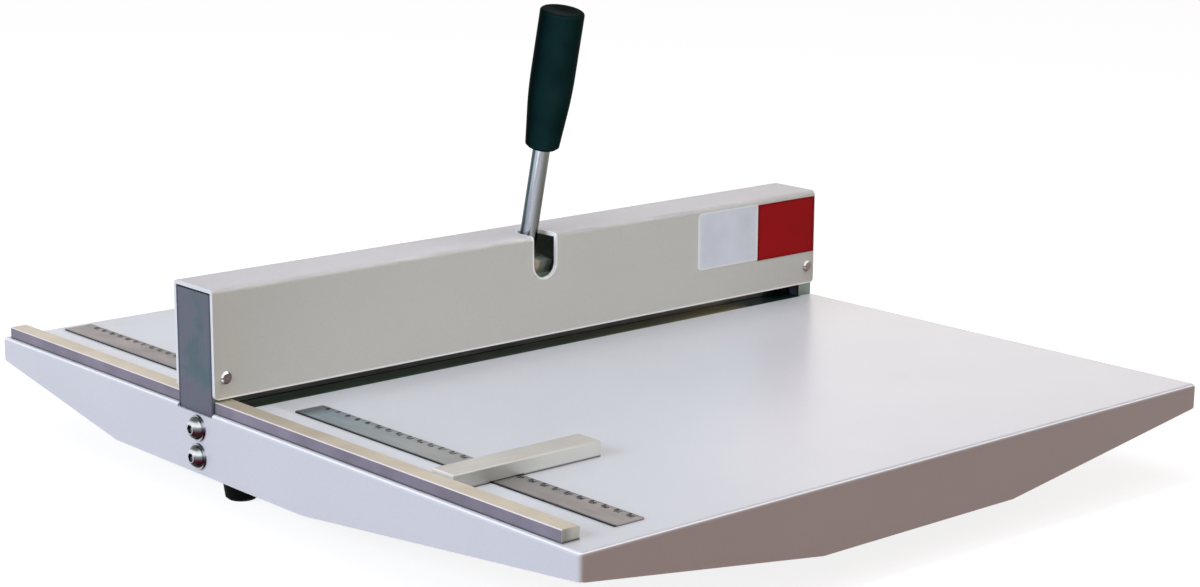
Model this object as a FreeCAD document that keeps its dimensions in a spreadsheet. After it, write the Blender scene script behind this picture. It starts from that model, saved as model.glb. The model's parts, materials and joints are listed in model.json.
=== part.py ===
"""Manual desktop paper creasing machine.

A folded sheet-metal table stands on rubber feet. A steel beam crosses it: two posts carry a
cam shaft, and the lever turns the shaft so that two eccentric cams push a press bar down.
The creasing blade in the press bar then dips into the groove of a die in the table. Springs
in the posts lift the bar again. Rails and rulers guide the sheet, and a stop sets the crease.

Frame: millimetres, X to the right along the beam, Y to the back, Z up. The origin is on the
floor under the middle of the table.
"""
import FreeCAD, Part

import math
import os

import Sketcher

Vector = FreeCAD.Vector
X_DIR, Y_DIR, Z_DIR = Vector(1, 0, 0), Vector(0, 1, 0), Vector(0, 0, 1)

# Driving dimensions: name, millimetres or degrees.
SIZES = [
    # table
    ("table_width", 512),
    ("table_depth", 590),
    ("table_height", 60),
    ("sheet", 1.5),
    ("bend_radius", 2.5),
    ("skirt_at_corner", 15.5),
    ("skirt_in_middle", 40),
    ("front_skirt_flat", 160),
    ("side_skirt_flat", 203),
    ("side_flat_from_front", 243),
    # beam, seen from the side
    ("crease_from_front", 350),
    ("crease_to_cover_front", 17),
    ("cover_depth", 42),
    ("cover_height", 67.3),
    ("cover_sheet", 2.5),
    ("cover_bend", 3),
    ("cover_corner", 3),
    ("paper_gap", 8.7),
    # posts and bed
    ("post_thick", 12),
    ("post_head_gap", 1),
    ("post_notch_gap", 0.4),
    ("under_depth", 39.5),
    ("bolt_radius", 4),
    ("bolt_head_radius", 7),
    ("bolt_head_height", 4.4),
    ("bolt_socket_flats", 5),
    ("bolt_socket_depth", 2.6),
    ("bolt_grip_in_beam", 18),
    ("bolt_upper_drop", 11),
    ("bolt_spacing", 17.7),
    ("washer_radius", 8),
    ("washer_thick", 1.6),
    ("hole_gap", 0.3),
    # lower die
    ("die_width", 14),
    ("die_height", 6.5),
    ("die_end_gap", 0.2),
    ("bed_gap", 0.2),
    ("groove_width", 2),
    ("groove_depth", 1.6),
    ("die_screw_radius", 2.5),
    ("die_screw_head_radius", 4.25),
    ("die_screw_head_height", 5),
    ("die_screw_seat", 14),
    ("die_screw_grip", 5),
    ("die_screw_inset", 32),
    # lever, cams and shaft
    ("lever_lean", 12.8),
    ("lever_travel", 42),
    ("shaft_behind_crease", 6),
    ("shaft_above_table", 40.8),
    ("shaft_radius", 6),
    ("bush_outer_radius", 8),
    ("bush_length", 9),
    ("bush_flange_radius", 10.5),
    ("bush_flange", 1.5),
    ("running_gap", 0.05),
    ("shaft_end_gap", 0.5),
    ("cam_radius", 13.6),
    ("cam_throw", 6.4),
    ("cam_width", 14),
    ("cam_from_post", 92.5),
    ("cam_gap", 0.3),
    ("hub_radius", 13),
    ("hub_width", 30),
    ("hub_boss_depth", 18),
    ("hub_boss_top", 18),
    ("rod_radius", 5.75),
    ("rod_bottom", 8),
    ("rod_in_grip", 46),
    ("grip_bottom", 96),
    ("grip_length", 92.5),
    ("grip_low_radius", 11.05),
    ("grip_swell_radius", 13.3),
    ("grip_swell_height", 25),
    ("grip_swell_curve", 285),
    ("grip_high_radius", 14.4),
    ("grip_full_height", 50),
    ("grip_edge", 1.6),
    ("grip_dish_radius", 10.5),
    ("grip_dish_depth", 0.8),
    ("grub_radius", 2.5),
    ("slot_width", 19),
    ("slot_right_of_lever", 1.5),
    ("slot_bottom", 47.5),
    ("slot_behind_crease", 6.5),
    # press bar and blade
    ("pad_thick", 2.5),
    ("pad_length", 24),
    ("pad_width", 12),
    ("bar_height", 16),
    ("bar_width", 16),
    ("bar_ahead_of_crease", 9),
    ("bar_end_gap", 1),
    ("tongue_ahead_of_crease", 5.5),
    ("tongue_gap", 0.1),
    ("tongue_end_gap", 0.7),
    ("post_slot_depth", 7),
    ("post_slot_floor", 4),
    ("post_slot_head", 1.5),
    ("blade_thick", 2),
    ("blade_from_post", 7.5),
    ("blade_tip", 1),
    ("blade_taper", 3),
    ("blade_dip", 0.45),
    ("blade_seat", 17),
    ("clamp_thick", 6),
    ("clamp_above_table", 7),
    ("clamp_screw_radius", 2),
    ("clamp_screw_head_radius", 3.5),
    ("clamp_screw_head_height", 2.8),
    ("clamp_screw_grip", 7),
    ("clamp_screw_inset", 35),
    ("clamp_screw_height", 13.5),
    # return springs
    ("pin_radius", 2),
    ("pin_in_post", 2.5),
    ("pin_gap", 0.15),
    ("spring_gap", 0.25),
    ("spring_wire_width", 0.9),
    ("spring_wire_height", 0.7),
    ("spring_turns", 4),
    # rails, rulers and stop
    ("front_rail_from_side", 2.5),
    ("rear_rail_from_side", 2.5),
    ("rail_width", 12),
    ("rail_height", 7.5),
    ("rail_edge", 0.5),
    ("front_rail_inset", 17.2),
    ("rear_rail_inset", 7),
    ("rail_end_gap", 0.5),
    ("rail_screw_radius", 2),
    ("rail_screw_head_radius", 3.5),
    ("rail_screw_head_height", 2.6),
    ("rail_screw_grip", 4.5),
    ("rail_screw_inset", 22),
    ("ruler_from_side", 41),
    ("ruler_width", 21),
    ("ruler_thick", 0.8),
    ("ruler_corner", 1.5),
    ("front_ruler_inset", 20),
    ("front_ruler_length", 288.5),
    ("rear_ruler_gap", 25),
    ("rear_ruler_length", 181),
    ("stop_from_front", 130.3),
    ("stop_length", 105),
    ("stop_width", 19),
    ("stop_height", 9.5),
    ("stop_side_gap", 0.2),
    ("stop_relief", 1.2),
    ("stop_relief_side", 2),
    ("stop_edge", 0.6),
    ("magnet_radius", 5),
    ("magnet_thick", 3),
    ("magnet_spacing", 28),
    ("magnet_from_end", 12),
    # cover screws
    ("cover_screw_radius", 2),
    ("cover_screw_head_radius", 3.8),
    ("cover_screw_head_height", 2.4),
    ("cover_screw_grip", 8),
    ("cover_screw_from_end", 7.5),
    ("cover_screw_above_table", 22),
    # ribs and feet
    ("rib_sheet", 2),
    ("rib_top_flange", 15),
    ("rib_foot_flange", 32),
    ("rib_spacing", 152),
    ("rib_front_inset", 60),
    ("rib_rear_inset", 60),
    ("foot_top_radius", 13),
    ("foot_bottom_radius", 10),
    ("foot_edge", 1.5),
    ("foot_recess_radius", 5),
    ("foot_recess_depth", 11),
    ("foot_screw_radius", 2.25),
    ("foot_screw_head_radius", 4),
    ("foot_screw_head_height", 2.8),
    ("foot_screw_grip", 5),
    ("beam_foot_from_side", 28.5),
    ("beam_foot_ahead_of_crease", 2),
    ("rib_foot_from_end", 50),
]

DIE_SCREWS = 4
CLAMP_SCREWS = 6

# Screw heads: shares of the head's own height and radius.
HEAD_EDGE = 0.4
SLOT_DEPTH = 0.45
SLOT_HALF_WIDTH = 0.12

doc = FreeCAD.newDocument("PaperCreasingMachine")


# ---------------------------------------------------------------------------------------
# Sizes: numbers that keep the spreadsheet formula they come from
# ---------------------------------------------------------------------------------------
class Size:
    """A number with its spreadsheet formula, so that one expression gives both."""

    def __init__(self, value, formula):
        self.value = float(value)
        self.formula = formula

    def __add__(self, other):
        other = as_size(other)
        return Size(self.value + other.value, "(%s + %s)" % (self.formula, other.formula))

    def __sub__(self, other):
        other = as_size(other)
        return Size(self.value - other.value, "(%s - %s)" % (self.formula, other.formula))

    def __mul__(self, other):
        other = as_size(other)
        return Size(self.value * other.value, "(%s * %s)" % (self.formula, other.formula))

    def __truediv__(self, other):
        other = as_size(other)
        return Size(self.value / other.value, "(%s / %s)" % (self.formula, other.formula))

    def __radd__(self, other):
        return as_size(other) + self

    def __rsub__(self, other):
        return as_size(other) - self

    def __rmul__(self, other):
        return as_size(other) * self

    def __neg__(self):
        return Size(-self.value, "(0 - %s)" % self.formula)


def as_size(number):
    if isinstance(number, Size):
        return number
    return Size(number, "(%r)" % float(number) if number < 0 else "%r" % float(number))


def sine(angle):
    return Size(math.sin(math.radians(angle.value)), "sin(%s * 1 deg)" % angle.formula)


def cosine(angle):
    return Size(math.cos(math.radians(angle.value)), "cos(%s * 1 deg)" % angle.formula)


def make_sheet():
    """Write each driving dimension as a plain number with an alias."""
    sheet = doc.addObject("Spreadsheet::Sheet", "Sizes")
    named = {}
    for row, (name, number) in enumerate(SIZES, start=1):
        sheet.set("A%d" % row, name)
        sheet.set("B%d" % row, str(number))
        sheet.setAlias("B%d" % row, name)
        named[name] = Size(number, "Sizes.%s" % name)
    doc.recompute()
    return named


S = make_sheet()


# ---------------------------------------------------------------------------------------
# Sketches and features
# ---------------------------------------------------------------------------------------
def bind(target, path, size):
    target.setExpression(path, as_size(size).formula)


def new_body(label):
    body = doc.addObject("PartDesign::Body", label)
    body.Label = label
    return body


def place(part, x=0, y=0, z=0):
    """Put a sub-part at a place given by sizes."""
    for axis, size in (("x", x), ("y", y), ("z", z)):
        bind(part, ".Placement.Base.%s" % axis, size)


def sketch_on(body, role, offset=0):
    """A sketch on one of the body's own origin planes, lifted by offset along its normal."""
    plane = [item for item in body.Origin.OriginFeatures if item.Role == role][0]
    sketch = body.newObject("Sketcher::SketchObject", "Sketch")
    sketch.AttachmentSupport = [(plane, "")]
    sketch.MapMode = "FlatFace"
    bind(sketch, ".AttachmentOffset.Base.z", offset)
    return sketch


def hold(sketch, kind, first, second, size):
    """A driving dimension between two sketch points, bound to the spreadsheet."""
    size = as_size(size)
    index = sketch.addConstraint(Sketcher.Constraint(kind, *first, *second, size.value))
    bind(sketch, "Constraints[%d]" % index, size)


def arc_between(start, end, radius):
    """The short arc from start to end: counterclockwise for a positive radius."""
    middle = (start + end) * 0.5
    chord = end - start
    reach = math.sqrt(max(radius * radius - chord.Length ** 2 / 4, 0))
    side = Vector(-chord.y, chord.x, 0).normalize() * (reach if radius > 0 else -reach)
    centre = middle + side
    low, high = (start, end) if radius > 0 else (end, start)
    angles = [math.atan2(point.y - centre.y, point.x - centre.x) for point in (low, high)]
    return Part.ArcOfCircle(Part.Circle(centre, Z_DIR, abs(radius)), angles[0], angles[1])


def draw_outline(sketch, corners):
    """A closed outline. A corner is (x, y), or (x, y, radius) where an arc starts there."""
    corners = [tuple(as_size(number) for number in corner) for corner in corners]
    points = [Vector(corner[0].value, corner[1].value, 0) for corner in corners]
    starts, ends = [], []
    for index, corner in enumerate(corners):
        start, end = points[index], points[(index + 1) % len(points)]
        if len(corner) == 2:
            edge = sketch.addGeometry(Part.LineSegment(start, end))
            starts.append((edge, 1))
            ends.append((edge, 2))
            continue
        edge = sketch.addGeometry(arc_between(start, end, corner[2].value))
        turn = (1, 2) if corner[2].value > 0 else (2, 1)
        starts.append((edge, turn[0]))
        ends.append((edge, turn[1]))
        radius = corner[2] if corner[2].value > 0 else -corner[2]
        limit = sketch.addConstraint(Sketcher.Constraint("Radius", edge, radius.value))
        bind(sketch, "Constraints[%d]" % limit, radius)
    for index, corner in enumerate(corners):
        following = starts[(index + 1) % len(corners)]
        sketch.addConstraint(Sketcher.Constraint("Coincident", *ends[index], *following))
        hold(sketch, "DistanceX", (-1, 1), starts[index], corner[0])
        hold(sketch, "DistanceY", (-1, 1), starts[index], corner[1])


def draw_box(sketch, x_low, x_high, y_low, y_high):
    draw_outline(sketch, [(x_low, y_low), (x_high, y_low), (x_high, y_high), (x_low, y_high)])


def draw_circle(sketch, x, y, radius):
    x, y, radius = as_size(x), as_size(y), as_size(radius)
    circle = Part.Circle(Vector(x.value, y.value, 0), Z_DIR, radius.value)
    edge = sketch.addGeometry(circle)
    limit = sketch.addConstraint(Sketcher.Constraint("Radius", edge, radius.value))
    bind(sketch, "Constraints[%d]" % limit, radius)
    hold(sketch, "DistanceX", (-1, 1), (edge, 3), x)
    hold(sketch, "DistanceY", (-1, 1), (edge, 3), y)


def draw_hexagon(sketch, x, y, flats):
    """A hexagon with two corners on the sketch's own vertical through its centre."""
    reach = flats / math.sqrt(3)
    corners = []
    for step in range(6):
        angle = math.radians(60 * step)
        corners.append((x + reach * math.sin(angle), y + reach * math.cos(angle)))
    draw_outline(sketch, corners)


def solid_volume(body):
    return body.Shape.Volume if body.Shape.Solids else 0.0


def pad(body, sketch, length, both_ways=False, flip=False):
    feature = body.newObject("PartDesign::Pad", "Pad")
    feature.Profile = sketch
    feature.SideType = "Symmetric" if both_ways else "One side"
    feature.Reversed = flip
    bind(feature, "Length", length)
    doc.recompute()
    return feature


def pocket(body, sketch, length=None, both_ways=False, flip=False):
    """Cut along the sketch's normal, or against it when flipped: it has to remove something."""
    before = solid_volume(body)
    feature = body.newObject("PartDesign::Pocket", "Pocket")
    feature.Profile = sketch
    feature.SideType = "Symmetric" if both_ways else "One side"
    feature.Reversed = not flip
    if length is None:
        feature.Type = "ThroughAll"
    else:
        bind(feature, "Length", length)
    doc.recompute()
    if solid_volume(body) > before - 1e-3:
        raise ValueError("a pocket of %s removes nothing" % body.Label)
    return feature


def revolve(body, sketch):
    """A full turn about the sketch's vertical axis."""
    feature = body.newObject("PartDesign::Revolution", "Revolution")
    feature.Profile = sketch
    feature.ReferenceAxis = (sketch, ["V_Axis"])
    feature.Angle = 360
    doc.recompute()
    return feature


def edge_names(shape, chosen):
    return ["Edge%d" % number for number, edge in enumerate(shape.Edges, start=1) if chosen(edge)]


def dress(body, kind, chosen, size):
    """Fillet or chamfer the edges of the body's last feature that the test picks."""
    base = body.Tip
    names = edge_names(base.Shape, chosen)
    if not names:
        raise ValueError("no edge of %s to dress" % body.Label)
    feature = body.newObject("PartDesign::%s" % kind, kind)
    feature.Base = (base, names)
    bind(feature, "Radius" if kind == "Fillet" else "Size", size)
    doc.recompute()
    return feature


def near(first, second):
    return abs(first - second) < 1e-4


def runs_along(edge, axis):
    """True for a straight edge parallel to the axis 0, 1 or 2."""
    ends = [vertex.Point for vertex in edge.Vertexes]
    if len(ends) != 2 or edge.Curve.TypeId != "Part::GeomLine":
        return False
    step = ends[1] - ends[0]
    return near(abs(step[axis]), step.Length)


def row_of(body, axis, length, count):
    """Repeat the body's last feature along an origin axis: count copies over the length."""
    line = [item for item in body.Origin.OriginFeatures if item.Role == axis][0]
    feature = body.newObject("PartDesign::LinearPattern", "LinearPattern")
    feature.Originals = [body.Tip]
    feature.Direction = (line, [""])
    bind(feature, "Length", length)
    feature.Occurrences = count
    body.Tip = feature
    doc.recompute()
    return feature


def spread(first, length, count):
    """Evenly spaced places from the first one over a length."""
    return [first + length * step / (count - 1) for step in range(count)]


def copies(label, master, spots):
    """Identical fasteners as separate solids of one sub-part: (point, turn) for each."""
    solids = []
    for point, turn in spots:
        solid = master.copy()
        solid.Placement = FreeCAD.Placement(Vector(*[as_size(n).value for n in point]), turn)
        solids.append(solid)
    part = doc.addObject("Part::Feature", label)
    part.Label = label
    part.Shape = Part.makeCompound(solids)
    return part


def screw_shape(label, shank, grip, head, height):
    """Slotted screw: the head's seat is at z 0 and the shank runs down."""
    body = new_body(label)
    sketch = sketch_on(body, "XZ_Plane")
    edge = height * HEAD_EDGE
    draw_outline(sketch, [(0, -grip), (shank, -grip), (shank, 0), (head, 0),
                          (head, height - edge), (head - edge, height), (0, height)])
    revolve(body, sketch)
    slot = sketch_on(body, "XY_Plane", height)
    draw_box(slot, -head, head, -head * SLOT_HALF_WIDTH, head * SLOT_HALF_WIDTH)
    pocket(body, slot, height * SLOT_DEPTH, flip=True)
    return body


TURN_NONE = FreeCAD.Rotation()
HEAD_DOWN = FreeCAD.Rotation(X_DIR, 180)
HEAD_FRONT = FreeCAD.Rotation(X_DIR, 90)
HEAD_BACK = FreeCAD.Rotation(X_DIR, -90)
HEAD_LEFT = FreeCAD.Rotation(Y_DIR, -90)
HEAD_RIGHT = FreeCAD.Rotation(Y_DIR, 90)
SIDES = (("left", -1), ("right", 1))
parts = []


def keep(part):
    parts.append(part)
    return part


# ---------------------------------------------------------------------------------------
# Levels and places that several pieces share
# ---------------------------------------------------------------------------------------
half_width = S["table_width"] / 2
half_depth = S["table_depth"] / 2
table_top = S["table_height"]
under_sheet = table_top - S["sheet"]
under_level = table_top - S["under_depth"]

crease_y = S["crease_from_front"] - half_depth
cover_front = crease_y - S["crease_to_cover_front"]
cover_back = cover_front + S["cover_depth"]
post_front = cover_front + S["cover_sheet"]
post_back = cover_back - S["cover_sheet"]
post_depth = post_back - post_front
post_outer = half_width - S["sheet"]
post_inner = post_outer - S["post_thick"]
cover_bottom = table_top + S["paper_gap"]
cover_top = cover_bottom + S["cover_height"]
under_roof = cover_top - S["cover_sheet"]
post_top = under_roof - S["post_head_gap"]

die_reach = post_inner - S["die_end_gap"]
die_screw_first = S["die_screw_inset"] - die_reach
die_screw_row = -2 * die_screw_first
blade_reach = post_inner - S["blade_from_post"]
clamp_screw_first = S["clamp_screw_inset"] - blade_reach
clamp_screw_row = -2 * clamp_screw_first

shaft_y = crease_y + S["shaft_behind_crease"]
shaft_z = table_top + S["shaft_above_table"]
half_travel = S["lever_travel"] / 2
stroke = 2 * S["cam_throw"] * sine(half_travel)
cam_x = post_inner - S["cam_from_post"]
cam_low = shaft_z + S["cam_throw"] * sine(half_travel) - S["cam_radius"]
pad_top = cam_low - S["cam_gap"]
bar_top = pad_top - S["pad_thick"]
bar_bottom = bar_top - S["bar_height"]
tongue_front = crease_y - S["tongue_ahead_of_crease"]
tongue_back = tongue_front + S["bar_width"]
slot_floor = table_top - S["post_slot_floor"]
pin_x = post_inner + S["post_slot_depth"] / 2
pin_y = (tongue_front + tongue_back) / 2
cam_push_y = shaft_y - S["cam_throw"] * cosine(half_travel)
blade_low = table_top + stroke - S["blade_dip"]
blade_back = crease_y + S["blade_thick"] / 2
blade_front = crease_y - S["blade_thick"] / 2
clamp_screw_z = table_top + S["clamp_screw_height"]

rail_x = {end: S["%s_rail_from_side" % end] + S["rail_width"] / 2 - half_width
          for end in ("front", "rear")}
ruler_left = S["ruler_from_side"] - half_width
ruler_right = ruler_left + S["ruler_width"]
rib_x = S["rib_spacing"] / 2
grub_length = S["hub_boss_depth"] / 2 - S["rod_radius"]
bolt_levels = [table_top - S["bolt_upper_drop"],
               table_top - S["bolt_upper_drop"] - S["bolt_spacing"]]


# ---------------------------------------------------------------------------------------
# Table
# ---------------------------------------------------------------------------------------
def make_table():
    """Folded sheet tray: deep in the middle of each side, shallow at the corners."""
    body = new_body("base_tray")
    place(body, z=table_top)
    outline = sketch_on(body, "XY_Plane")
    draw_box(outline, -half_width, half_width, -half_depth, half_depth)
    pad(body, outline, S["skirt_in_middle"], flip=True)
    low = -S["skirt_in_middle"].value
    dress(body, "Fillet", lambda edge: not near(edge.BoundBox.ZMax, low), S["bend_radius"])
    inside = sketch_on(body, "XY_Plane", -S["sheet"])
    wall_x, wall_y = half_width - S["sheet"], half_depth - S["sheet"]
    draw_box(inside, -wall_x, wall_x, -wall_y, wall_y)
    pocket(body, inside, S["skirt_in_middle"], flip=True)
    inner_top = -S["sheet"].value
    inner_bend = S["bend_radius"] - S["sheet"]
    dress(body, "Fillet",
          lambda edge: near(edge.BoundBox.ZMin, inner_top)
          and near(edge.BoundBox.ZMax, inner_top), inner_bend)

    shallow, deep = -S["skirt_at_corner"], -S["skirt_in_middle"]
    past = deep * 1.2
    front_knee = S["front_skirt_flat"] / 2
    for flip in (False, True):
        side = half_depth - S["bend_radius"]
        corner = sketch_on(body, "XZ_Plane", side if not flip else -side)
        for turn in (-1, 1):
            draw_outline(corner, [(turn * front_knee, deep), (turn * half_width, shallow),
                                  (turn * half_width * 1.1, shallow),
                                  (turn * half_width * 1.1, past), (turn * front_knee, past)])
        pocket(body, corner, S["bend_radius"] * 2, flip=flip)
    knee_front = S["side_flat_from_front"] - half_depth
    knee_back = knee_front + S["side_skirt_flat"]
    for flip in (False, True):
        side = half_width - S["bend_radius"]
        corner = sketch_on(body, "YZ_Plane", side if not flip else -side)
        for knee, end in ((knee_front, -half_depth), (knee_back, half_depth)):
            draw_outline(corner, [(knee, deep), (end, shallow), (end * 1.1, shallow),
                                  (end * 1.1, past), (knee, past)])
        pocket(body, corner, S["bend_radius"] * 2, flip=flip)

    notches = sketch_on(body, "XY_Plane")
    gap = S["post_notch_gap"]
    for turn in (-1, 1):
        draw_box(notches, turn * (post_inner - gap), turn * half_width * 1.1,
                 post_front - gap, post_back + gap)
    pocket(body, notches, S["bend_radius"], flip=True)
    window = sketch_on(body, "XY_Plane")
    gap = S["bed_gap"]
    draw_box(window, -post_inner, post_inner, cover_front - gap, cover_back + gap)
    pocket(body, window, S["bend_radius"], flip=True)

    holes = sketch_on(body, "YZ_Plane")
    for level in bolt_levels:
        draw_circle(holes, crease_y, level - table_top, S["bolt_radius"] + S["hole_gap"])
    pocket(body, holes, S["table_width"] * 2, both_ways=True)

    drills = sketch_on(body, "XY_Plane")
    for x, y in rail_screw_spots():
        draw_circle(drills, x, y, S["rail_screw_radius"] + S["hole_gap"])
    pocket(body, drills, S["sheet"] * 2, flip=True)
    return body


def rail_ends():
    """Front and rear rail: (low y, high y) of each, either side of the posts."""
    front = (S["front_rail_inset"] - half_depth, post_front - S["rail_end_gap"])
    rear = (post_back + S["rail_end_gap"], half_depth - S["rear_rail_inset"])
    return {"front": front, "rear": rear}


def rail_screw_spots():
    """Place of each rail screw: near both ends of each rail, and in its middle."""
    spots = []
    for end, (low, high) in rail_ends().items():
        levels = (low + S["rail_screw_inset"], (low + high) / 2, high - S["rail_screw_inset"])
        spots += [(rail_x[end], level) for level in levels]
    return spots


def make_rib(label, turn, low, high, foot_y):
    """Folded channel under the table: spot-welded above, a foot on its wide lower flange."""
    body = new_body(label)
    place(body, x=turn * rib_x, y=low, z=under_level)
    profile = sketch_on(body, "XZ_Plane")
    wall = S["rib_sheet"]
    height = under_sheet - under_level
    foot = -turn * S["rib_foot_flange"] / 2
    wide = turn * S["rib_foot_flange"] / 2
    lip = foot + turn * S["rib_top_flange"]
    inner = foot + turn * wall
    draw_outline(profile, [(foot, 0), (wide, 0), (wide, wall), (inner, wall),
                           (inner, height - wall), (lip, height - wall), (lip, height),
                           (foot, height)])
    pad(body, profile, high - low, flip=True)
    bend = foot.value
    dress(body, "Fillet",
          lambda edge: runs_along(edge, 1) and near(edge.CenterOfMass.x, bend), wall)
    tapped = sketch_on(body, "XY_Plane")
    draw_circle(tapped, 0, foot_y - low, S["foot_screw_radius"])
    pocket(body, tapped, wall)
    return body


def rib_ends():
    """How far the ribs reach to the front and to the rear."""
    return S["rib_front_inset"] - half_depth, half_depth - S["rib_rear_inset"]


def make_foot(label):
    """Tapered rubber foot with a deep recess for its screw."""
    body = new_body(label)
    profile = sketch_on(body, "XZ_Plane")
    hole = S["foot_screw_radius"] + S["hole_gap"]
    recess, depth = S["foot_recess_radius"], S["foot_recess_depth"]
    draw_outline(profile, [(recess, 0), (S["foot_bottom_radius"], 0),
                           (S["foot_top_radius"], under_level), (hole, under_level),
                           (hole, depth), (recess, depth)])
    revolve(body, profile)
    low = S["foot_bottom_radius"].value
    dress(body, "Chamfer",
          lambda edge: near(edge.BoundBox.ZMax, 0) and near(edge.BoundBox.XMax, low),
          S["foot_edge"])
    return body


def foot_places():
    """Label and place of each foot: two under the beam, four under the ribs."""
    beam_x = half_width - S["beam_foot_from_side"]
    beam_y = crease_y - S["beam_foot_ahead_of_crease"]
    front = rib_ends()[0] + S["rib_foot_from_end"]
    rear = rib_ends()[1] - S["rib_foot_from_end"]
    places = [("foot_beam_%s" % side, turn * beam_x, beam_y) for side, turn in SIDES]
    for end, level in (("front", front), ("rear", rear)):
        places += [("foot_%s_%s" % (end, side), turn * rib_x, level) for side, turn in SIDES]
    return places


# ---------------------------------------------------------------------------------------
# Beam: bed, die, posts, cover
# ---------------------------------------------------------------------------------------
def make_bed():
    """Solid bar, flush with the table: grooved for the die, tapped at its ends for the bolts."""
    body = new_body("bed_beam")
    place(body, y=crease_y)
    profile = sketch_on(body, "YZ_Plane")
    front, back = cover_front - crease_y, cover_back - crease_y
    side = S["die_width"] / 2
    floor = table_top - S["die_height"]
    draw_outline(profile, [(front, under_level), (back, under_level), (back, table_top),
                           (side, table_top), (side, floor), (-side, floor),
                           (-side, table_top), (front, table_top)])
    pad(body, profile, 2 * post_inner, both_ways=True)
    for turn in (-1, 1):
        tapped = sketch_on(body, "YZ_Plane", turn * post_inner)
        for level in bolt_levels:
            draw_circle(tapped, 0, level, S["bolt_radius"])
        pocket(body, tapped, S["bolt_grip_in_beam"], flip=turn > 0)
    for radius, depth in ((S["die_screw_radius"] + S["hole_gap"], None),
                          (S["die_screw_head_radius"] + S["hole_gap"], S["die_screw_seat"])):
        first = sketch_on(body, "XY_Plane", under_level)
        draw_circle(first, die_screw_first, 0, radius)
        pocket(body, first, depth)
        row_of(body, "X_Axis", die_screw_row, DIE_SCREWS)
    feet = sketch_on(body, "XY_Plane", under_level)
    for _, x, y in foot_places()[:2]:
        draw_circle(feet, x, y - crease_y, S["foot_screw_radius"])
    pocket(body, feet, S["foot_screw_grip"])
    return body


def make_die():
    """Hardened strip with the creasing groove, flush with the table top."""
    body = new_body("lower_die")
    place(body, y=crease_y, z=table_top)
    profile = sketch_on(body, "YZ_Plane")
    side, groove = S["die_width"] / 2, S["groove_width"] / 2
    low = -S["die_height"]
    draw_outline(profile, [(-side, low), (side, low), (side, 0), (groove, 0),
                           (groove, -S["groove_depth"]), (-groove, -S["groove_depth"]),
                           (-groove, 0), (-side, 0)])
    pad(body, profile, 2 * die_reach, both_ways=True)
    first = sketch_on(body, "XY_Plane", low)
    draw_circle(first, die_screw_first, 0, S["die_screw_radius"])
    pocket(body, first, S["die_screw_grip"])
    row_of(body, "X_Axis", die_screw_row, DIE_SCREWS)
    return body


def make_post(label, turn):
    """Post with a vertical guide slot for the press bar and a blind seat for the bush."""
    body = new_body(label)
    place(body, x=turn * post_outer, y=post_front)
    outline = sketch_on(body, "YZ_Plane")
    draw_box(outline, 0, post_depth, under_level, post_top)
    pad(body, outline, S["post_thick"], flip=turn > 0)
    inner = -turn * S["post_thick"]
    guide = sketch_on(body, "YZ_Plane", inner)
    gap = S["tongue_gap"]
    draw_box(guide, tongue_front - gap - post_front, tongue_back + gap - post_front,
             slot_floor, bar_top + S["post_slot_head"])
    pocket(body, guide, S["post_slot_depth"], flip=turn < 0)
    seat = sketch_on(body, "YZ_Plane", inner)
    draw_circle(seat, shaft_y - post_front, shaft_z, S["bush_outer_radius"])
    pocket(body, seat, S["bush_length"] + S["shaft_end_gap"], flip=turn < 0)
    bolts = sketch_on(body, "YZ_Plane")
    for level in bolt_levels:
        draw_circle(bolts, crease_y - post_front, level, S["bolt_radius"] + S["hole_gap"])
    pocket(body, bolts, 3 * S["post_thick"], both_ways=True)
    pin_hole = sketch_on(body, "XY_Plane", slot_floor)
    draw_circle(pin_hole, turn * (pin_x - post_outer), pin_y - post_front, S["pin_radius"])
    pocket(body, pin_hole, S["pin_in_post"], flip=True)
    screw_x = turn * (-S["cover_screw_from_end"])
    for face, flip in ((0, False), (-post_depth, True)):
        tapped = sketch_on(body, "XZ_Plane", face)
        draw_circle(tapped, screw_x, table_top + S["cover_screw_above_table"],
                    S["cover_screw_radius"])
        pocket(body, tapped, S["cover_screw_grip"], flip=not flip)
    return body


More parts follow.
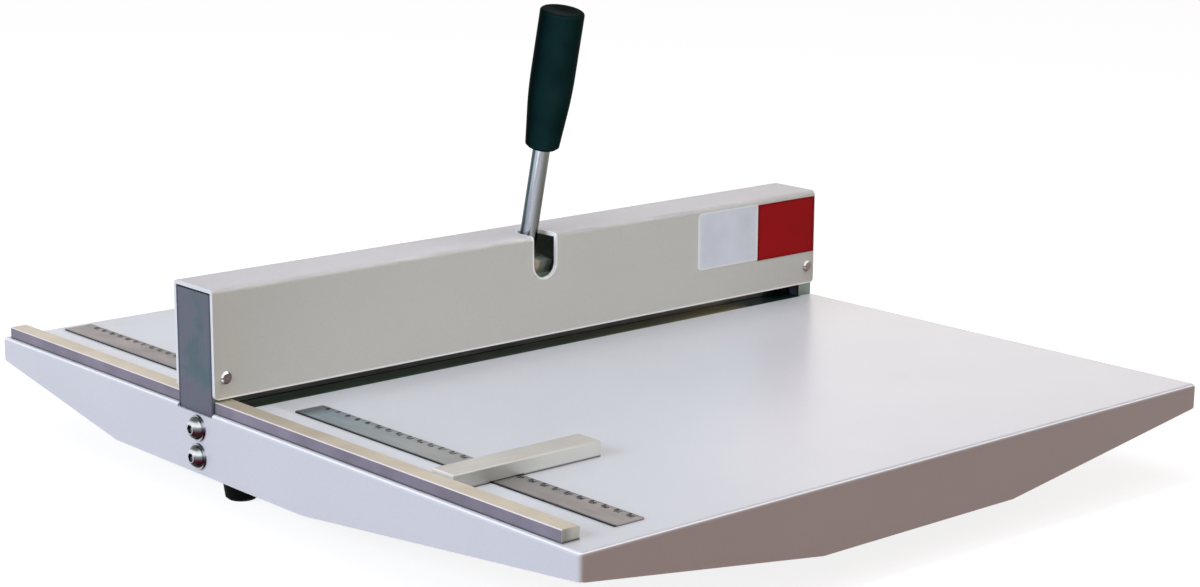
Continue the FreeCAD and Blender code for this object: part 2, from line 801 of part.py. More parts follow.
def make_cover():
    """Inverted U of folded sheet with the lever's round-ended slot over its front bend."""
    body = new_body("beam_cover")
    place(body, y=crease_y)
    profile = sketch_on(body, "YZ_Plane")
    front, back = cover_front - crease_y, cover_back - crease_y
    wall = S["cover_sheet"]
    draw_outline(profile, [(front, cover_bottom), (front + wall, cover_bottom),
                           (front + wall, under_roof), (back - wall, under_roof),
                           (back - wall, cover_bottom), (back, cover_bottom),
                           (back, cover_top), (front, cover_top)])
    pad(body, profile, 2 * post_outer, both_ways=True)
    top = cover_top.value
    dress(body, "Fillet",
          lambda edge: runs_along(edge, 0) and near(edge.BoundBox.ZMin, top), S["cover_bend"])
    end, low = post_outer.value, cover_bottom.value
    dress(body, "Fillet",
          lambda edge: runs_along(edge, 1) and near(edge.BoundBox.ZMax, low)
          and near(abs(edge.CenterOfMass.x), end), S["cover_corner"])

    half, middle = S["slot_width"] / 2, S["slot_right_of_lever"]
    left, right = middle - half, middle + half
    low_end = table_top + S["slot_bottom"]
    face = sketch_on(body, "XZ_Plane", -front)
    draw_outline(face, [(left, low_end + half, half), (middle, low_end, half),
                        (right, low_end + half), (right, cover_top + wall),
                        (left, cover_top + wall)])
    pocket(body, face, S["cover_bend"] + wall, flip=True)
    roof = sketch_on(body, "XY_Plane", cover_top)
    round_end = S["slot_behind_crease"] - half
    draw_outline(roof, [(right, round_end, half), (middle, S["slot_behind_crease"], half),
                        (left, round_end), (left, front), (right, front)])
    pocket(body, roof, S["cover_bend"] + wall, flip=True)

    holes = sketch_on(body, "XZ_Plane")
    for turn in (-1, 1):
        draw_circle(holes, turn * (post_outer - S["cover_screw_from_end"]),
                    table_top + S["cover_screw_above_table"],
                    S["cover_screw_radius"] + S["hole_gap"])
    pocket(body, holes, 3 * S["cover_depth"], both_ways=True)
    return body


def make_bolt():
    """Dome-head bolt with a hexagon socket: the head's seat is at z 0."""
    body = new_body("bolt_master")
    grip = S["washer_thick"] + S["sheet"] + S["post_thick"] + S["bolt_grip_in_beam"]
    head, height = S["bolt_head_radius"], S["bolt_head_height"]
    crown = head * 0.45
    sketch = sketch_on(body, "XZ_Plane")
    draw_outline(sketch, [(0, -grip), (S["bolt_radius"], -grip), (S["bolt_radius"], 0),
                          (head, 0), (head, height * 0.15, head * 0.95), (crown, height),
                          (0, height)])
    revolve(body, sketch)
    socket = sketch_on(body, "XY_Plane", height)
    draw_hexagon(socket, 0, 0, S["bolt_socket_flats"])
    pocket(body, socket, S["bolt_socket_depth"], flip=True)
    return body


def make_washer():
    body = new_body("washer_master")
    sketch = sketch_on(body, "XY_Plane")
    draw_circle(sketch, 0, 0, S["washer_radius"])
    draw_circle(sketch, 0, 0, S["bolt_radius"] + S["hole_gap"])
    pad(body, sketch, S["washer_thick"])
    return body


# ---------------------------------------------------------------------------------------
# Press: bar, blade, clamp, pads, springs
# ---------------------------------------------------------------------------------------
def make_press_bar():
    """Bar with end tongues for the posts and a rebate that seats the blade."""
    body = new_body("press_bar")
    place(body, y=crease_y, z=bar_bottom)
    front, back = tongue_front - crease_y, tongue_back - crease_y
    tongue_reach = post_inner + S["post_slot_depth"] - S["tongue_end_gap"]
    bar_reach = post_inner - S["bar_end_gap"]
    tongue = sketch_on(body, "YZ_Plane")
    draw_box(tongue, front, back, 0, S["bar_height"])
    pad(body, tongue, 2 * tongue_reach, both_ways=True)
    nose = sketch_on(body, "YZ_Plane")
    seat = table_top + S["blade_seat"] - bar_bottom
    draw_box(nose, -S["bar_ahead_of_crease"], front, seat, S["bar_height"])
    pad(body, nose, 2 * bar_reach, both_ways=True)
    rebate = sketch_on(body, "YZ_Plane")
    draw_box(rebate, front, blade_back - crease_y, 0, seat)
    pocket(body, rebate, 2 * bar_reach, both_ways=True)
    tapped = sketch_on(body, "XZ_Plane", crease_y - blade_back)
    draw_circle(tapped, clamp_screw_first, clamp_screw_z - bar_bottom,
                S["clamp_screw_radius"])
    pocket(body, tapped, S["clamp_screw_grip"], flip=True)
    row_of(body, "X_Axis", clamp_screw_row, CLAMP_SCREWS)
    guides = sketch_on(body, "XY_Plane")
    for turn in (-1, 1):
        draw_circle(guides, turn * pin_x, pin_y - crease_y, S["pin_radius"] + S["pin_gap"])
    pocket(body, guides, S["bar_height"], flip=False)
    return body


def make_blade():
    """Creasing blade: a flat strip with a narrowed, rounded lower edge."""
    body = new_body("creasing_blade")
    place(body, y=crease_y, z=blade_low)
    half, tip = S["blade_thick"] / 2, S["blade_tip"] / 2
    rise = table_top + S["blade_seat"] - blade_low
    profile = sketch_on(body, "YZ_Plane")
    draw_outline(profile, [(-tip, tip, tip), (0, 0, tip), (tip, tip), (half, S["blade_taper"]),
                           (half, rise), (-half, rise), (-half, S["blade_taper"])])
    pad(body, profile, 2 * blade_reach, both_ways=True)
    hole = sketch_on(body, "XZ_Plane")
    draw_circle(hole, clamp_screw_first, clamp_screw_z - blade_low,
                S["clamp_screw_radius"] + S["hole_gap"])
    pocket(body, hole, 3 * S["blade_thick"], both_ways=True)
    row_of(body, "X_Axis", clamp_screw_row, CLAMP_SCREWS)
    return body


def make_clamp():
    """Strip that holds the blade against the bar, bevelled along its lower front edge."""
    body = new_body("blade_clamp")
    place(body, y=blade_front, z=table_top + S["clamp_above_table"])
    rise = S["blade_seat"] - S["clamp_above_table"]
    deep = S["clamp_thick"]
    profile = sketch_on(body, "YZ_Plane")
    draw_outline(profile, [(-deep / 2, 0), (0, 0), (0, rise), (-deep, rise), (-deep, deep / 2)])
    pad(body, profile, 2 * blade_reach, both_ways=True)
    hole = sketch_on(body, "XZ_Plane")
    draw_circle(hole, clamp_screw_first,
                S["clamp_screw_height"] - S["clamp_above_table"],
                S["clamp_screw_radius"] + S["hole_gap"])
    pocket(body, hole, 3 * deep, both_ways=True)
    row_of(body, "X_Axis", clamp_screw_row, CLAMP_SCREWS)
    return body


def make_press_pad(label, turn):
    """Hardened pad on the bar, where the cam pushes."""
    body = new_body(label)
    place(body, x=turn * cam_x, y=cam_push_y, z=bar_top)
    outline = sketch_on(body, "XY_Plane")
    draw_box(outline, -S["pad_length"] / 2, S["pad_length"] / 2,
             -S["pad_width"] / 2, S["pad_width"] / 2)
    pad(body, outline, S["pad_thick"])
    return body


def make_guide_pin(label, turn):
    """Pin through the tongue: it keeps the spring upright."""
    body = new_body(label)
    place(body, x=turn * pin_x, y=pin_y, z=slot_floor - S["pin_in_post"])
    outline = sketch_on(body, "XY_Plane")
    draw_circle(outline, 0, 0, S["pin_radius"])
    pad(body, outline, bar_top - slot_floor + S["pin_in_post"])
    top = (bar_top - slot_floor + S["pin_in_post"]).value
    dress(body, "Chamfer", lambda edge: near(edge.BoundBox.ZMin, top), S["pin_radius"] / 4)
    return body


def make_return_spring(label, turn):
    """Flat-wire compression spring round the pin, from the slot's floor to the tongue."""
    body = new_body(label)
    place(body, x=turn * pin_x, y=pin_y, z=slot_floor)
    inner = S["pin_radius"] + S["spring_gap"]
    wire = sketch_on(body, "XZ_Plane")
    draw_box(wire, inner, inner + S["spring_wire_width"], 0, S["spring_wire_height"])
    rise = bar_bottom - slot_floor - S["spring_wire_height"]
    coil = body.newObject("PartDesign::AdditiveHelix", "Coil")
    coil.Profile = wire
    coil.ReferenceAxis = (wire, ["V_Axis"])
    coil.Mode = "pitch-height-angle"
    bind(coil, "Height", rise)
    bind(coil, "Pitch", rise / S["spring_turns"])
    doc.recompute()
    return body


# ---------------------------------------------------------------------------------------
# Lever: shaft, bushes, cams, hub, rod, grip
# ---------------------------------------------------------------------------------------
def on_shaft(body, x=0):
    """Seat a piece on the shaft's axis."""
    place(body, x=x, y=shaft_y, z=shaft_z)
    return body


def turned(body, axis, angle):
    """Turn a seated piece about an axis by a size in degrees."""
    body.Placement.Rotation = FreeCAD.Rotation(axis, angle.value)
    bind(body, ".Placement.Rotation.Angle", angle)
    return body


def make_shaft():
    body = new_body("cam_shaft")
    reach = post_inner + S["bush_length"]
    outline = sketch_on(body, "YZ_Plane")
    draw_circle(outline, 0, 0, S["shaft_radius"])
    pad(body, outline, 2 * reach, both_ways=True)
    dress(body, "Chamfer", lambda edge: near(abs(edge.CenterOfMass.x), reach.value)
          and edge.Curve.TypeId == "Part::GeomCircle", S["shaft_radius"] / 8)
    return on_shaft(body)


def make_bush(label, turn):
    """Flanged bronze bush, pushed into the post from inside."""
    body = new_body(label)
    profile = sketch_on(body, "XY_Plane")
    bore = S["shaft_radius"] + S["running_gap"]
    rim, flange = S["bush_flange_radius"], S["bush_flange"]
    draw_outline(profile, [(bore, -flange), (rim, -flange), (rim, 0),
                           (S["bush_outer_radius"], 0), (S["bush_outer_radius"],
                                                         S["bush_length"]),
                           (bore, S["bush_length"])])
    revolve(body, profile)
    place(body, x=turn * post_inner, y=shaft_y, z=shaft_z)
    body.Placement.Rotation = FreeCAD.Rotation(Z_DIR, -90 * turn)
    return body


def make_cam(label, turn):
    """Eccentric disc: half the lever's travel brings its far side level with the shaft."""
    body = new_body(label)
    disc = sketch_on(body, "YZ_Plane")
    draw_circle(disc, -S["cam_throw"], 0, S["cam_radius"])
    draw_circle(disc, 0, 0, S["shaft_radius"])
    pad(body, disc, S["cam_width"], both_ways=True)
    hole = sketch_on(body, "XY_Plane")
    draw_circle(hole, 0, 0, S["grub_radius"])
    pocket(body, hole, S["cam_radius"])
    return turned(on_shaft(body, x=turn * cam_x), -X_DIR, half_travel)


def make_hub():
    """Hub with a flat-sided boss that takes the lever rod."""
    body = new_body("lever_hub")
    ring, side, top = S["hub_radius"], S["hub_boss_depth"] / 2, S["hub_boss_top"]
    shoulder = Size(math.sqrt(ring.value ** 2 - side.value ** 2),
                    "sqrt(%s ^ 2 - %s ^ 2)" % (ring.formula, side.formula))
    profile = sketch_on(body, "YZ_Plane")
    draw_outline(profile, [(side, top), (-side, top), (-side, shoulder, ring),
                           (0 - ring, 0, ring), (0, -ring, ring), (ring, 0, ring),
                           (side, shoulder)])
    pad(body, profile, S["hub_width"], both_ways=True)
    bore = sketch_on(body, "YZ_Plane")
    draw_circle(bore, 0, 0, S["shaft_radius"])
    pocket(body, bore, 2 * S["hub_width"], both_ways=True)
    socket = sketch_on(body, "XY_Plane", top)
    draw_circle(socket, 0, 0, S["rod_radius"])
    pocket(body, socket, top - S["rod_bottom"], flip=True)
    grub = sketch_on(body, "XZ_Plane", -side)
    draw_circle(grub, 0, (top + S["rod_bottom"]) / 2, S["grub_radius"])
    pocket(body, grub, side)
    return turned(on_shaft(body), X_DIR, S["lever_lean"])


def make_rod():
    """Polished rod from the hub into the grip."""
    body = new_body("lever_rod")
    length = S["grip_bottom"] + S["rod_in_grip"] - S["rod_bottom"]
    outline = sketch_on(body, "XY_Plane", S["rod_bottom"])
    draw_circle(outline, 0, 0, S["rod_radius"])
    pad(body, outline, length)
    dress(body, "Chamfer", lambda edge: edge.Curve.TypeId == "Part::GeomCircle",
          S["rod_radius"] / 6)
    return turned(on_shaft(body), X_DIR, S["lever_lean"])


def make_grip():
    """Moulded grip: a cone that swells in a long curve to a straight, dished end."""
    body = new_body("lever_grip")
    low, high = S["grip_low_radius"], S["grip_high_radius"]
    foot = S["grip_bottom"]
    top = foot + S["grip_length"]
    profile = sketch_on(body, "XZ_Plane")
    draw_outline(profile, [(S["rod_radius"], foot), (low, foot),
                           (S["grip_swell_radius"], foot + S["grip_swell_height"],
                            S["grip_swell_curve"]),
                           (high, foot + S["grip_full_height"]), (high, top),
                           (S["grip_dish_radius"], top), (0, top - S["grip_dish_depth"]),
                           (0, foot + S["rod_in_grip"]), (S["rod_radius"],
                                                         foot + S["rod_in_grip"])])
    revolve(body, profile)
    for kind, radius, level in (("Chamfer", low, foot), ("Fillet", high, top)):
        dress(body, kind,
              lambda edge, r=radius.value, z=level.value: near(edge.BoundBox.ZMin, z)
              and near(edge.BoundBox.ZMax, z) and near(edge.BoundBox.XMax, r),
              S["grip_edge"])
    return turned(on_shaft(body), X_DIR, S["lever_lean"])


def grub_places():
    """Point and turn of each grub screw: one at the back of the hub, one in each cam."""
    centre = Vector(0, shaft_y.value, shaft_z.value)
    lean = FreeCAD.Rotation(X_DIR, S["lever_lean"].value)
    seat = Vector(0, S["hub_boss_depth"].value / 2,
                  (S["hub_boss_top"] + S["rod_bottom"]).value / 2)
    places = [(centre + lean.multVec(seat), lean * HEAD_BACK)]
    back = FreeCAD.Rotation(-X_DIR, half_travel.value)
    for _, turn in SIDES:
        seat = Vector(turn * cam_x.value, 0, (S["shaft_radius"] + grub_length).value)
        places.append((centre + back.multVec(seat), back))
    return places


def make_grub():
    """Grub screw with a hexagon socket, its open end at z 0."""
    body = new_body("grub_master")
    outline = sketch_on(body, "XY_Plane")
    draw_circle(outline, 0, 0, S["grub_radius"])
    pad(body, outline, grub_length, flip=True)
    socket = sketch_on(body, "XY_Plane")
    draw_hexagon(socket, 0, 0, S["grub_radius"])
    pocket(body, socket, S["grub_radius"], flip=True)
    return body


# ---------------------------------------------------------------------------------------
# Guides: rails, rulers, stop
# ---------------------------------------------------------------------------------------
def make_rail(end, low, high):
    body = new_body("%s_rail" % end)
    place(body, x=rail_x[end], y=low, z=table_top)
    profile = sketch_on(body, "XZ_Plane")
    draw_box(profile, -S["rail_width"] / 2, S["rail_width"] / 2, 0, S["rail_height"])
    pad(body, profile, high - low, flip=True)
    top = S["rail_height"].value
    dress(body, "Chamfer", lambda edge: runs_along(edge, 1) and near(edge.BoundBox.ZMin, top),
          S["rail_edge"])
    tapped = sketch_on(body, "XY_Plane")
    for spot in (S["rail_screw_inset"], (high - low) / 2, high - low - S["rail_screw_inset"]):
        draw_circle(tapped, 0, spot, S["rail_screw_radius"])
    pocket(body, tapped, S["rail_screw_grip"])
    return body


def make_ruler(label, low, length):
    body = new_body(label)
    place(body, x=ruler_left, y=low, z=table_top)
    outline = sketch_on(body, "XY_Plane")
    draw_box(outline, 0, S["ruler_width"], 0, length)
    pad(body, outline, S["ruler_thick"])
    dress(body, "Fillet", lambda edge: runs_along(edge, 2), S["ruler_corner"])
    return body


def make_stop():
    """Flat bar against the front rail, relieved where it bridges the ruler."""
    body = new_body("paper_stop")
    left = rail_x["front"] + S["rail_width"] / 2 + S["stop_side_gap"]
    place(body, x=left, y=S["stop_from_front"] - half_depth, z=table_top)
    profile = sketch_on(body, "XZ_Plane")
    relief_low = ruler_left - left - S["stop_relief_side"]
    relief_high = ruler_right - left + S["stop_relief_side"]
    lift = S["stop_relief"]
    draw_outline(profile, [(0, 0), (relief_low, 0), (relief_low, lift), (relief_high, lift),
                           (relief_high, 0), (S["stop_length"], 0),
                           (S["stop_length"], S["stop_height"]), (0, S["stop_height"])])
    pad(body, profile, S["stop_width"], both_ways=True)
    top = S["stop_height"].value
    dress(body, "Chamfer", lambda edge: near(edge.BoundBox.ZMin, top), S["stop_edge"])
    seats = sketch_on(body, "XY_Plane")
    for x in stop_magnet_places():
        draw_circle(seats, x, 0, S["magnet_radius"])
    pocket(body, seats, S["magnet_thick"])
    return body


def stop_magnet_places():
    last = S["stop_length"] - S["magnet_from_end"]
    return [last - S["magnet_spacing"], last]


def make_magnet():
    body = new_body("magnet_master")
    outline = sketch_on(body, "XY_Plane")
    draw_circle(outline, 0, 0, S["magnet_radius"])
    pad(body, outline, S["magnet_thick"])
    return body


# ---------------------------------------------------------------------------------------
# Assembly
# ---------------------------------------------------------------------------------------
def build_table():
    keep(make_table())
    for end, (low, high) in rail_ends().items():
        keep(make_rail(end, low, high))
    keep(make_ruler("front_ruler", S["front_ruler_inset"] - half_depth,
                    S["front_ruler_length"]))
    keep(make_ruler("rear_ruler", cover_back + S["rear_ruler_gap"], S["rear_ruler_length"]))
    rib_front, rib_rear = rib_ends()
    for side, turn in SIDES:
        keep(make_rib("table_rib_front_%s" % side, turn, rib_front, cover_front,
                      rib_front + S["rib_foot_from_end"]))
        keep(make_rib("table_rib_rear_%s" % side, turn, cover_back, rib_rear,
                      rib_rear - S["rib_foot_from_end"]))
    for label, x, y in foot_places():
        foot = keep(make_foot(label))
        place(foot, x=x, y=y)


def build_beam():
    keep(make_bed())
    keep(make_die())
    for side, turn in SIDES:
        keep(make_post("post_%s" % side, turn))
        keep(make_bush("shaft_bush_%s" % side, turn))
        keep(make_guide_pin("guide_pin_%s" % side, turn))
    keep(make_cover())


def build_press():
    keep(make_press_bar())
    keep(make_blade())
    keep(make_clamp())
    for side, turn in SIDES:
        keep(make_press_pad("press_pad_%s" % side, turn))
        keep(make_return_spring("return_spring_%s" % side, turn))


def build_lever():
    keep(make_shaft())
    for side, turn in SIDES:
        keep(make_cam("press_cam_%s" % side, turn))
    keep(make_hub())
    keep(make_rod())
    keep(make_grip())
    keep(copies("grub_screws", make_grub().Shape, grub_places()))


def build_stop():
    stop = keep(make_stop())
    spots = [((stop.Placement.Base.x + x.value, stop.Placement.Base.y, table_top), TURN_NONE)
             for x in stop_magnet_places()]
    keep(copies("stop_magnets", make_magnet().Shape, spots))


def build_fasteners():
    bolts, washers = [], []
    for turn, facing in ((-1, HEAD_LEFT), (1, HEAD_RIGHT)):
        for level in bolt_levels:
            bolts.append(((turn * (half_width + S["washer_thick"]), crease_y, level), facing))
            washers.append(((turn * half_width, crease_y, level), facing))
    keep(copies("frame_bolts", make_bolt().Shape, bolts))
    keep(copies("frame_washers", make_washer().Shape, washers))

    cover_screw = screw_shape("cover_screw_master", S["cover_screw_radius"],
                              S["cover_sheet"] + S["cover_screw_grip"],
                              S["cover_screw_head_radius"], S["cover_screw_head_height"])
    screw_z = table_top + S["cover_screw_above_table"]
    spots = []
    for turn in (-1, 1):
        x = turn * (post_outer - S["cover_screw_from_end"])
        spots += [((x, cover_front, screw_z), HEAD_FRONT), ((x, cover_back, screw_z), HEAD_BACK)]
    keep(copies("cover_screws", cover_screw.Shape, spots))

    clamp_screw = screw_shape("clamp_screw_master", S["clamp_screw_radius"],
                              S["clamp_thick"] + S["blade_thick"] + S["clamp_screw_grip"],
                              S["clamp_screw_head_radius"], S["clamp_screw_head_height"])
    spots = [((x, blade_front - S["clamp_thick"], clamp_screw_z), HEAD_FRONT)
             for x in spread(clamp_screw_first, clamp_screw_row, CLAMP_SCREWS)]
    keep(copies("clamp_screws", clamp_screw.Shape, spots))

    die_screw = screw_shape("die_screw_master", S["die_screw_radius"],
                            table_top - S["die_height"] - under_level - S["die_screw_seat"]
                            + S["die_screw_grip"], S["die_screw_head_radius"],
                            S["die_screw_head_height"])
    spots = [((x, crease_y, under_level + S["die_screw_seat"]), HEAD_DOWN)
             for x in spread(die_screw_first, die_screw_row, DIE_SCREWS)]
    keep(copies("die_screws", die_screw.Shape, spots))

    rail_screw = screw_shape("rail_screw_master", S["rail_screw_radius"],
                             S["sheet"] + S["rail_screw_grip"], S["rail_screw_head_radius"],
                             S["rail_screw_head_height"])
    spots = [((x, y, under_sheet), HEAD_DOWN) for x, y in rail_screw_spots()]
    keep(copies("rail_screws", rail_screw.Shape, spots))

    foot_screw = screw_shape("foot_screw_master", S["foot_screw_radius"],
                             under_level - S["foot_recess_depth"] + S["foot_screw_grip"],
                             S["foot_screw_head_radius"], S["foot_screw_head_height"])
    spots = [((x, y, S["foot_recess_depth"]), HEAD_DOWN) for _, x, y in foot_places()]
    keep(copies("foot_screws", foot_screw.Shape, spots))


def check_and_write():
    """Stop on any failed object or shape, then write one STEP file for each sub-part."""
    doc.recompute()
    for item in doc.Objects:
        if "Invalid" in item.State or "Error" in item.State:
            raise ValueError("%s (%s) failed: %s" % (item.Name, item.Label, item.State))
    os.makedirs("parts", exist_ok=True)
    for part in parts:
        if part.Shape.isNull() or not part.Shape.isValid() or not part.Shape.Solids:
            raise ValueError("%s has no valid solid" % part.Label)
        part.Shape.exportStep("parts/%s.step" % part.Label)


build_table()
build_beam()
build_press()
build_lever()
build_stop()
build_fasteners()
check_and_write()
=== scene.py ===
"""Desktop paper creasing machine: finishes, small printed and stuck-on pieces, light and camera.

Units are metres, in the frame of the CAD part: X to the right along the beam, Y to the back,
Z up, with the origin on the floor under the middle of the table.
"""
import json
import math

import bmesh
import bpy
from mathutils import Matrix, Vector


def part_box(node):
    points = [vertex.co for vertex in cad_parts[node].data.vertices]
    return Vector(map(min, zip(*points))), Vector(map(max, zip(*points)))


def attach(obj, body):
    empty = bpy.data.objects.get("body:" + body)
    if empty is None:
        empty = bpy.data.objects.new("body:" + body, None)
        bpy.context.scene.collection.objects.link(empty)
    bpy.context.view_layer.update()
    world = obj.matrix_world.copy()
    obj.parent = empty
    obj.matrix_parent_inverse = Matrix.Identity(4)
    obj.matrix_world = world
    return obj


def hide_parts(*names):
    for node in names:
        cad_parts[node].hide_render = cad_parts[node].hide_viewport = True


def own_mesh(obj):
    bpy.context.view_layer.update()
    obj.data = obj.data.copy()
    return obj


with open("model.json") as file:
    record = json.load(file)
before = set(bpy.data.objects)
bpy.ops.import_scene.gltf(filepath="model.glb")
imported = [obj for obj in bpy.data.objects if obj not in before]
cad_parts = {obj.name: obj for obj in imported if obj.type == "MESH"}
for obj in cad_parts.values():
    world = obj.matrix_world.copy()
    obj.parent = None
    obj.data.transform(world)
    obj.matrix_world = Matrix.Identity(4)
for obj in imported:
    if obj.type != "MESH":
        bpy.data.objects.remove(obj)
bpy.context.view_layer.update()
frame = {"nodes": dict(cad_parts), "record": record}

MM = 0.001

# ---------------------------------------------------------------------------------------
# Colours, in linear light. Each stop of the tones is a place from 0 to 1, then a colour.
# ---------------------------------------------------------------------------------------
TABLE_GREY = (0.74, 0.75, 0.78)
# A painted highlight for the table's bends and for the strip beside its front rail.
TABLE_HIGHLIGHT = (0.95, 0.96, 1.0)
COVER_GREY = (0.65, 0.675, 0.65)
# A painted shade for the faces of the cover that look up.
COVER_TOP_SHADE = (0.63, 0.60, 0.605)
# A painted highlight for the cover's cut edges.
COVER_HIGHLIGHT = (0.97, 0.99, 0.99)
PRIMER = (0.035, 0.05, 0.042)
INNER_PRIMER = (0.62, 0.78, 0.72)

# Over the patches of a stain.
POST_TONES = ((0.36, 0.072, 0.118, 0.144), (0.5, 0.116, 0.134, 0.174),
              (0.64, 0.140, 0.126, 0.186))
POST_GRAIN = (0.26, 0.29, 0.34)
POST_SAWN = (0.19, 0.235, 0.195)
# A painted shade along the long borders of the posts' wide faces.
POST_RIM_SHADE = (0.030, 0.036, 0.075)
HUB_TONES = ((0.35, 0.28, 0.38, 0.33), (0.65, 0.42, 0.50, 0.43))
# A tan painted highlight on the front of the lever's hub.
HUB_HIGHLIGHT = (0.90, 0.74, 0.58)
BRONZE_TONES = ((0.4, 0.32, 0.19, 0.08), (0.6, 0.5, 0.33, 0.16))

# From the left end of the black steel to its right end; the olive-brown stops right of the middle
# are a painted reflection.
OXIDE_AND_REFLECTION_TONES = ((0.0, 0.020, 0.055, 0.024), (0.55, 0.036, 0.064, 0.030),
               (0.72, 0.115, 0.112, 0.046), (0.85, 0.270, 0.230, 0.105),
               (0.89, 0.012, 0.040, 0.034), (1.0, 0.008, 0.034, 0.030))
OXIDE_GRAIN = (0.040, 0.050, 0.035)

# From the front end of the front ruler to its back end: painted reflection and shade, warm at the
# front and blue-grey towards the beam.
RULER_REFLECTION_TONES = ((0.0, 0.32, 0.265, 0.245), (0.42, 0.34, 0.305, 0.29), (0.62, 0.54, 0.565, 0.57),
               (0.85, 0.48, 0.59, 0.66), (0.94, 0.43, 0.57, 0.68), (0.985, 0.10, 0.15, 0.20),
               (1.0, 0.25, 0.205, 0.19))
RULER_SMEAR = (0.20, 0.20, 0.21)
RULER_GRAIN = (0.46, 0.44, 0.43)
# A painted shade on the rulers' outer edge and sides.
RULER_RIM_SHADE = (0.03, 0.034, 0.036)

# A painted highlight for the chamfers that look up and left.
ALUMINIUM_CHAMFER_HIGHLIGHT = (0.84, 0.79, 0.80)
# A painted contact shadow along the foot.
ALUMINIUM_FOOT_SHADOW = (0.06, 0.062, 0.06)
ALUMINIUM_WORN = (0.88, 0.85, 0.83)

# Painted reflections and highlights round a polished piece, from turned away to turned towards.
BOLT_REFLECTION_TONES = ((0.0, 0.0015, 0.0, 0.0003), (0.28, 0.010, 0.0003, 0.001),
              (0.42, 0.052, 0.003, 0.009), (0.49, 0.085, 0.07, 0.085), (0.58, 0.20, 0.22, 0.25),
              (0.67, 0.90, 0.93, 0.96), (0.76, 0.72, 0.75, 0.78), (0.84, 0.10, 0.12, 0.12),
              (1.0, 0.04, 0.05, 0.05))
# A flat grey for faces turned along X, in place of the painted reflection.
BOLT_END = (0.40, 0.42, 0.46)
ROD_REFLECTION_TONES = ((0.0, 0.03, 0.055, 0.062), (0.15, 0.045, 0.08, 0.095), (0.24, 0.52, 0.58, 0.67),
             (0.38, 0.78, 0.82, 0.87), (0.54, 0.60, 0.61, 0.62), (0.70, 0.31, 0.31, 0.285),
             (0.87, 0.20, 0.19, 0.15), (1.0, 0.09, 0.09, 0.07))
SCREW_REFLECTION_TONES = ((0.0, 0.016, 0.006, 0.009), (0.40, 0.060, 0.028, 0.032), (0.50, 0.22, 0.17, 0.155),
               (0.60, 0.50, 0.46, 0.43), (0.74, 0.90, 0.88, 0.85))
POLISH_SMEAR = (0.30, 0.30, 0.29)

# ---------------------------------------------------------------------------------------
# Places on the pieces
# ---------------------------------------------------------------------------------------
# The lever's slot in the cover: its middle in X, half its width, where its ends turn round.
SLOT_MIDDLE = 1.5 * MM
SLOT_HALF = 9.5 * MM
SLOT_ROUND_Z = 117 * MM
SLOT_ROUND_Y = 52 * MM
COVER_SHEET = 2.5 * MM

# Bare plates on the cover: name, left, right, lowest and highest over the table, radii of the
# corners as rounded_plate takes them, colour, colour of the rim, specular level.
PLATES = (
    ("plate_white", 139.4 * MM, 197.1 * MM, 32.8 * MM, 72.9 * MM,
     (3 * MM, 1 * MM, 1 * MM, 3 * MM), (0.75, 0.825, 0.94), (0.88, 0.96, 0.99), 0.3),
    ("plate_red", 197.2 * MM, 253.8 * MM, 32.0 * MM, 72.1 * MM,
     (0.6 * MM,) * 4, (0.36, 0.004, 0.007), (0.20, 0.0, 0.002), 0.08),
)
PLATE_THICKNESS = 0.25 * MM
PLATE_ARC_STEPS = 6

# Graduations: a line stands at each multiple of so many millimetres; its length, half width.
TICKS = ((10, 4.0 * MM, 0.75 * MM), (5, 2.4 * MM, 0.14 * MM), (1, 1.5 * MM, 0.07 * MM))
# What each ruler shows: its first and last millimetre and centimetre, and which way it counts.
RULER_PRINTS = (("front_ruler", (42, 329), (5, 32), -1), ("rear_ruler", (51, 230), (6, 22), 1))
LINE_MARGIN = 0.2 * MM
LINE_LIFT = 0.03 * MM
FIGURE_LIFT = 0.04 * MM
FIGURE_SIZE = 4.2 * MM
FIGURE_BOLDNESS = 0.26 * MM
FIGURE_INSET = 3.9 * MM
FIGURE_SHIFT = 0.8 * MM

# ---------------------------------------------------------------------------------------
# Floor, light and camera
# ---------------------------------------------------------------------------------------
FLOOR_REACH = 6.0
FLOOR_TO_LIGHT = (0.22, 0.15, 0.12)
FLOOR_SEEN = (0.40, 0.40, 0.40)
FLOOR_GLOW = 0.84

# The room's light: direction it comes from, colour.
ROOM = (
    ((0, 0, 1), (0.15, 0.16, 0.18)),
    ((-1, 0, 0), (0.22, 0.22, 0.24)),
    ((1, 0, 0), (0.25, 0.24, 0.23)),
    ((0, -1, 0), (0.30, 0.110, 0.024)),
    ((0, 1, 0), (0.25, 0.25, 0.27)),
)

# Lamps: name, place, aim, size, power, colour, spread in degrees, and whether gloss mirrors it.
LAMPS = (
    ("top", (0.2, 0.4, 2.4), (0, 0, 0.05), (2.4, 2.0), 6,
     (1.0, 1.0, 1.0), 180, True),
    ("over", (0.0, -0.16, 0.8), (0, 0, 0.1), (0.9, 0.16), 2.25,
     (0.78, 0.87, 0.95), 180, True),
    ("left", (-3.2, 0.15, 1.2), (0, 0, 0.08), (2.3, 1.7), 83,
     (0.75, 0.84, 1.0), 180, False),
    ("grid", (0.2, -1.9, 1.2), (0, 0.06, 0.12), (0.9, 0.1), 0.102,
     (0.9, 1.0, 0.89), 11, True),
    ("back", (1.42, 0.68, 0.44), (0.2, -0.18, 0.06), (0.9, 0.5), 1.05,
     (1.0, 0.72, 0.50), 180, True),
)

# The camera looks along +Y turned to the right, dipped and rolled by these degrees.
CAMERA_PLACE = Vector((-1.03676, -1.19532, 0.46342))
CAMERA_TURN = 41.37
CAMERA_DIP = 12.802
CAMERA_ROLL = 0.334
FOCAL_PIXELS = 2517.75
IMAGE_WIDTH = 1200


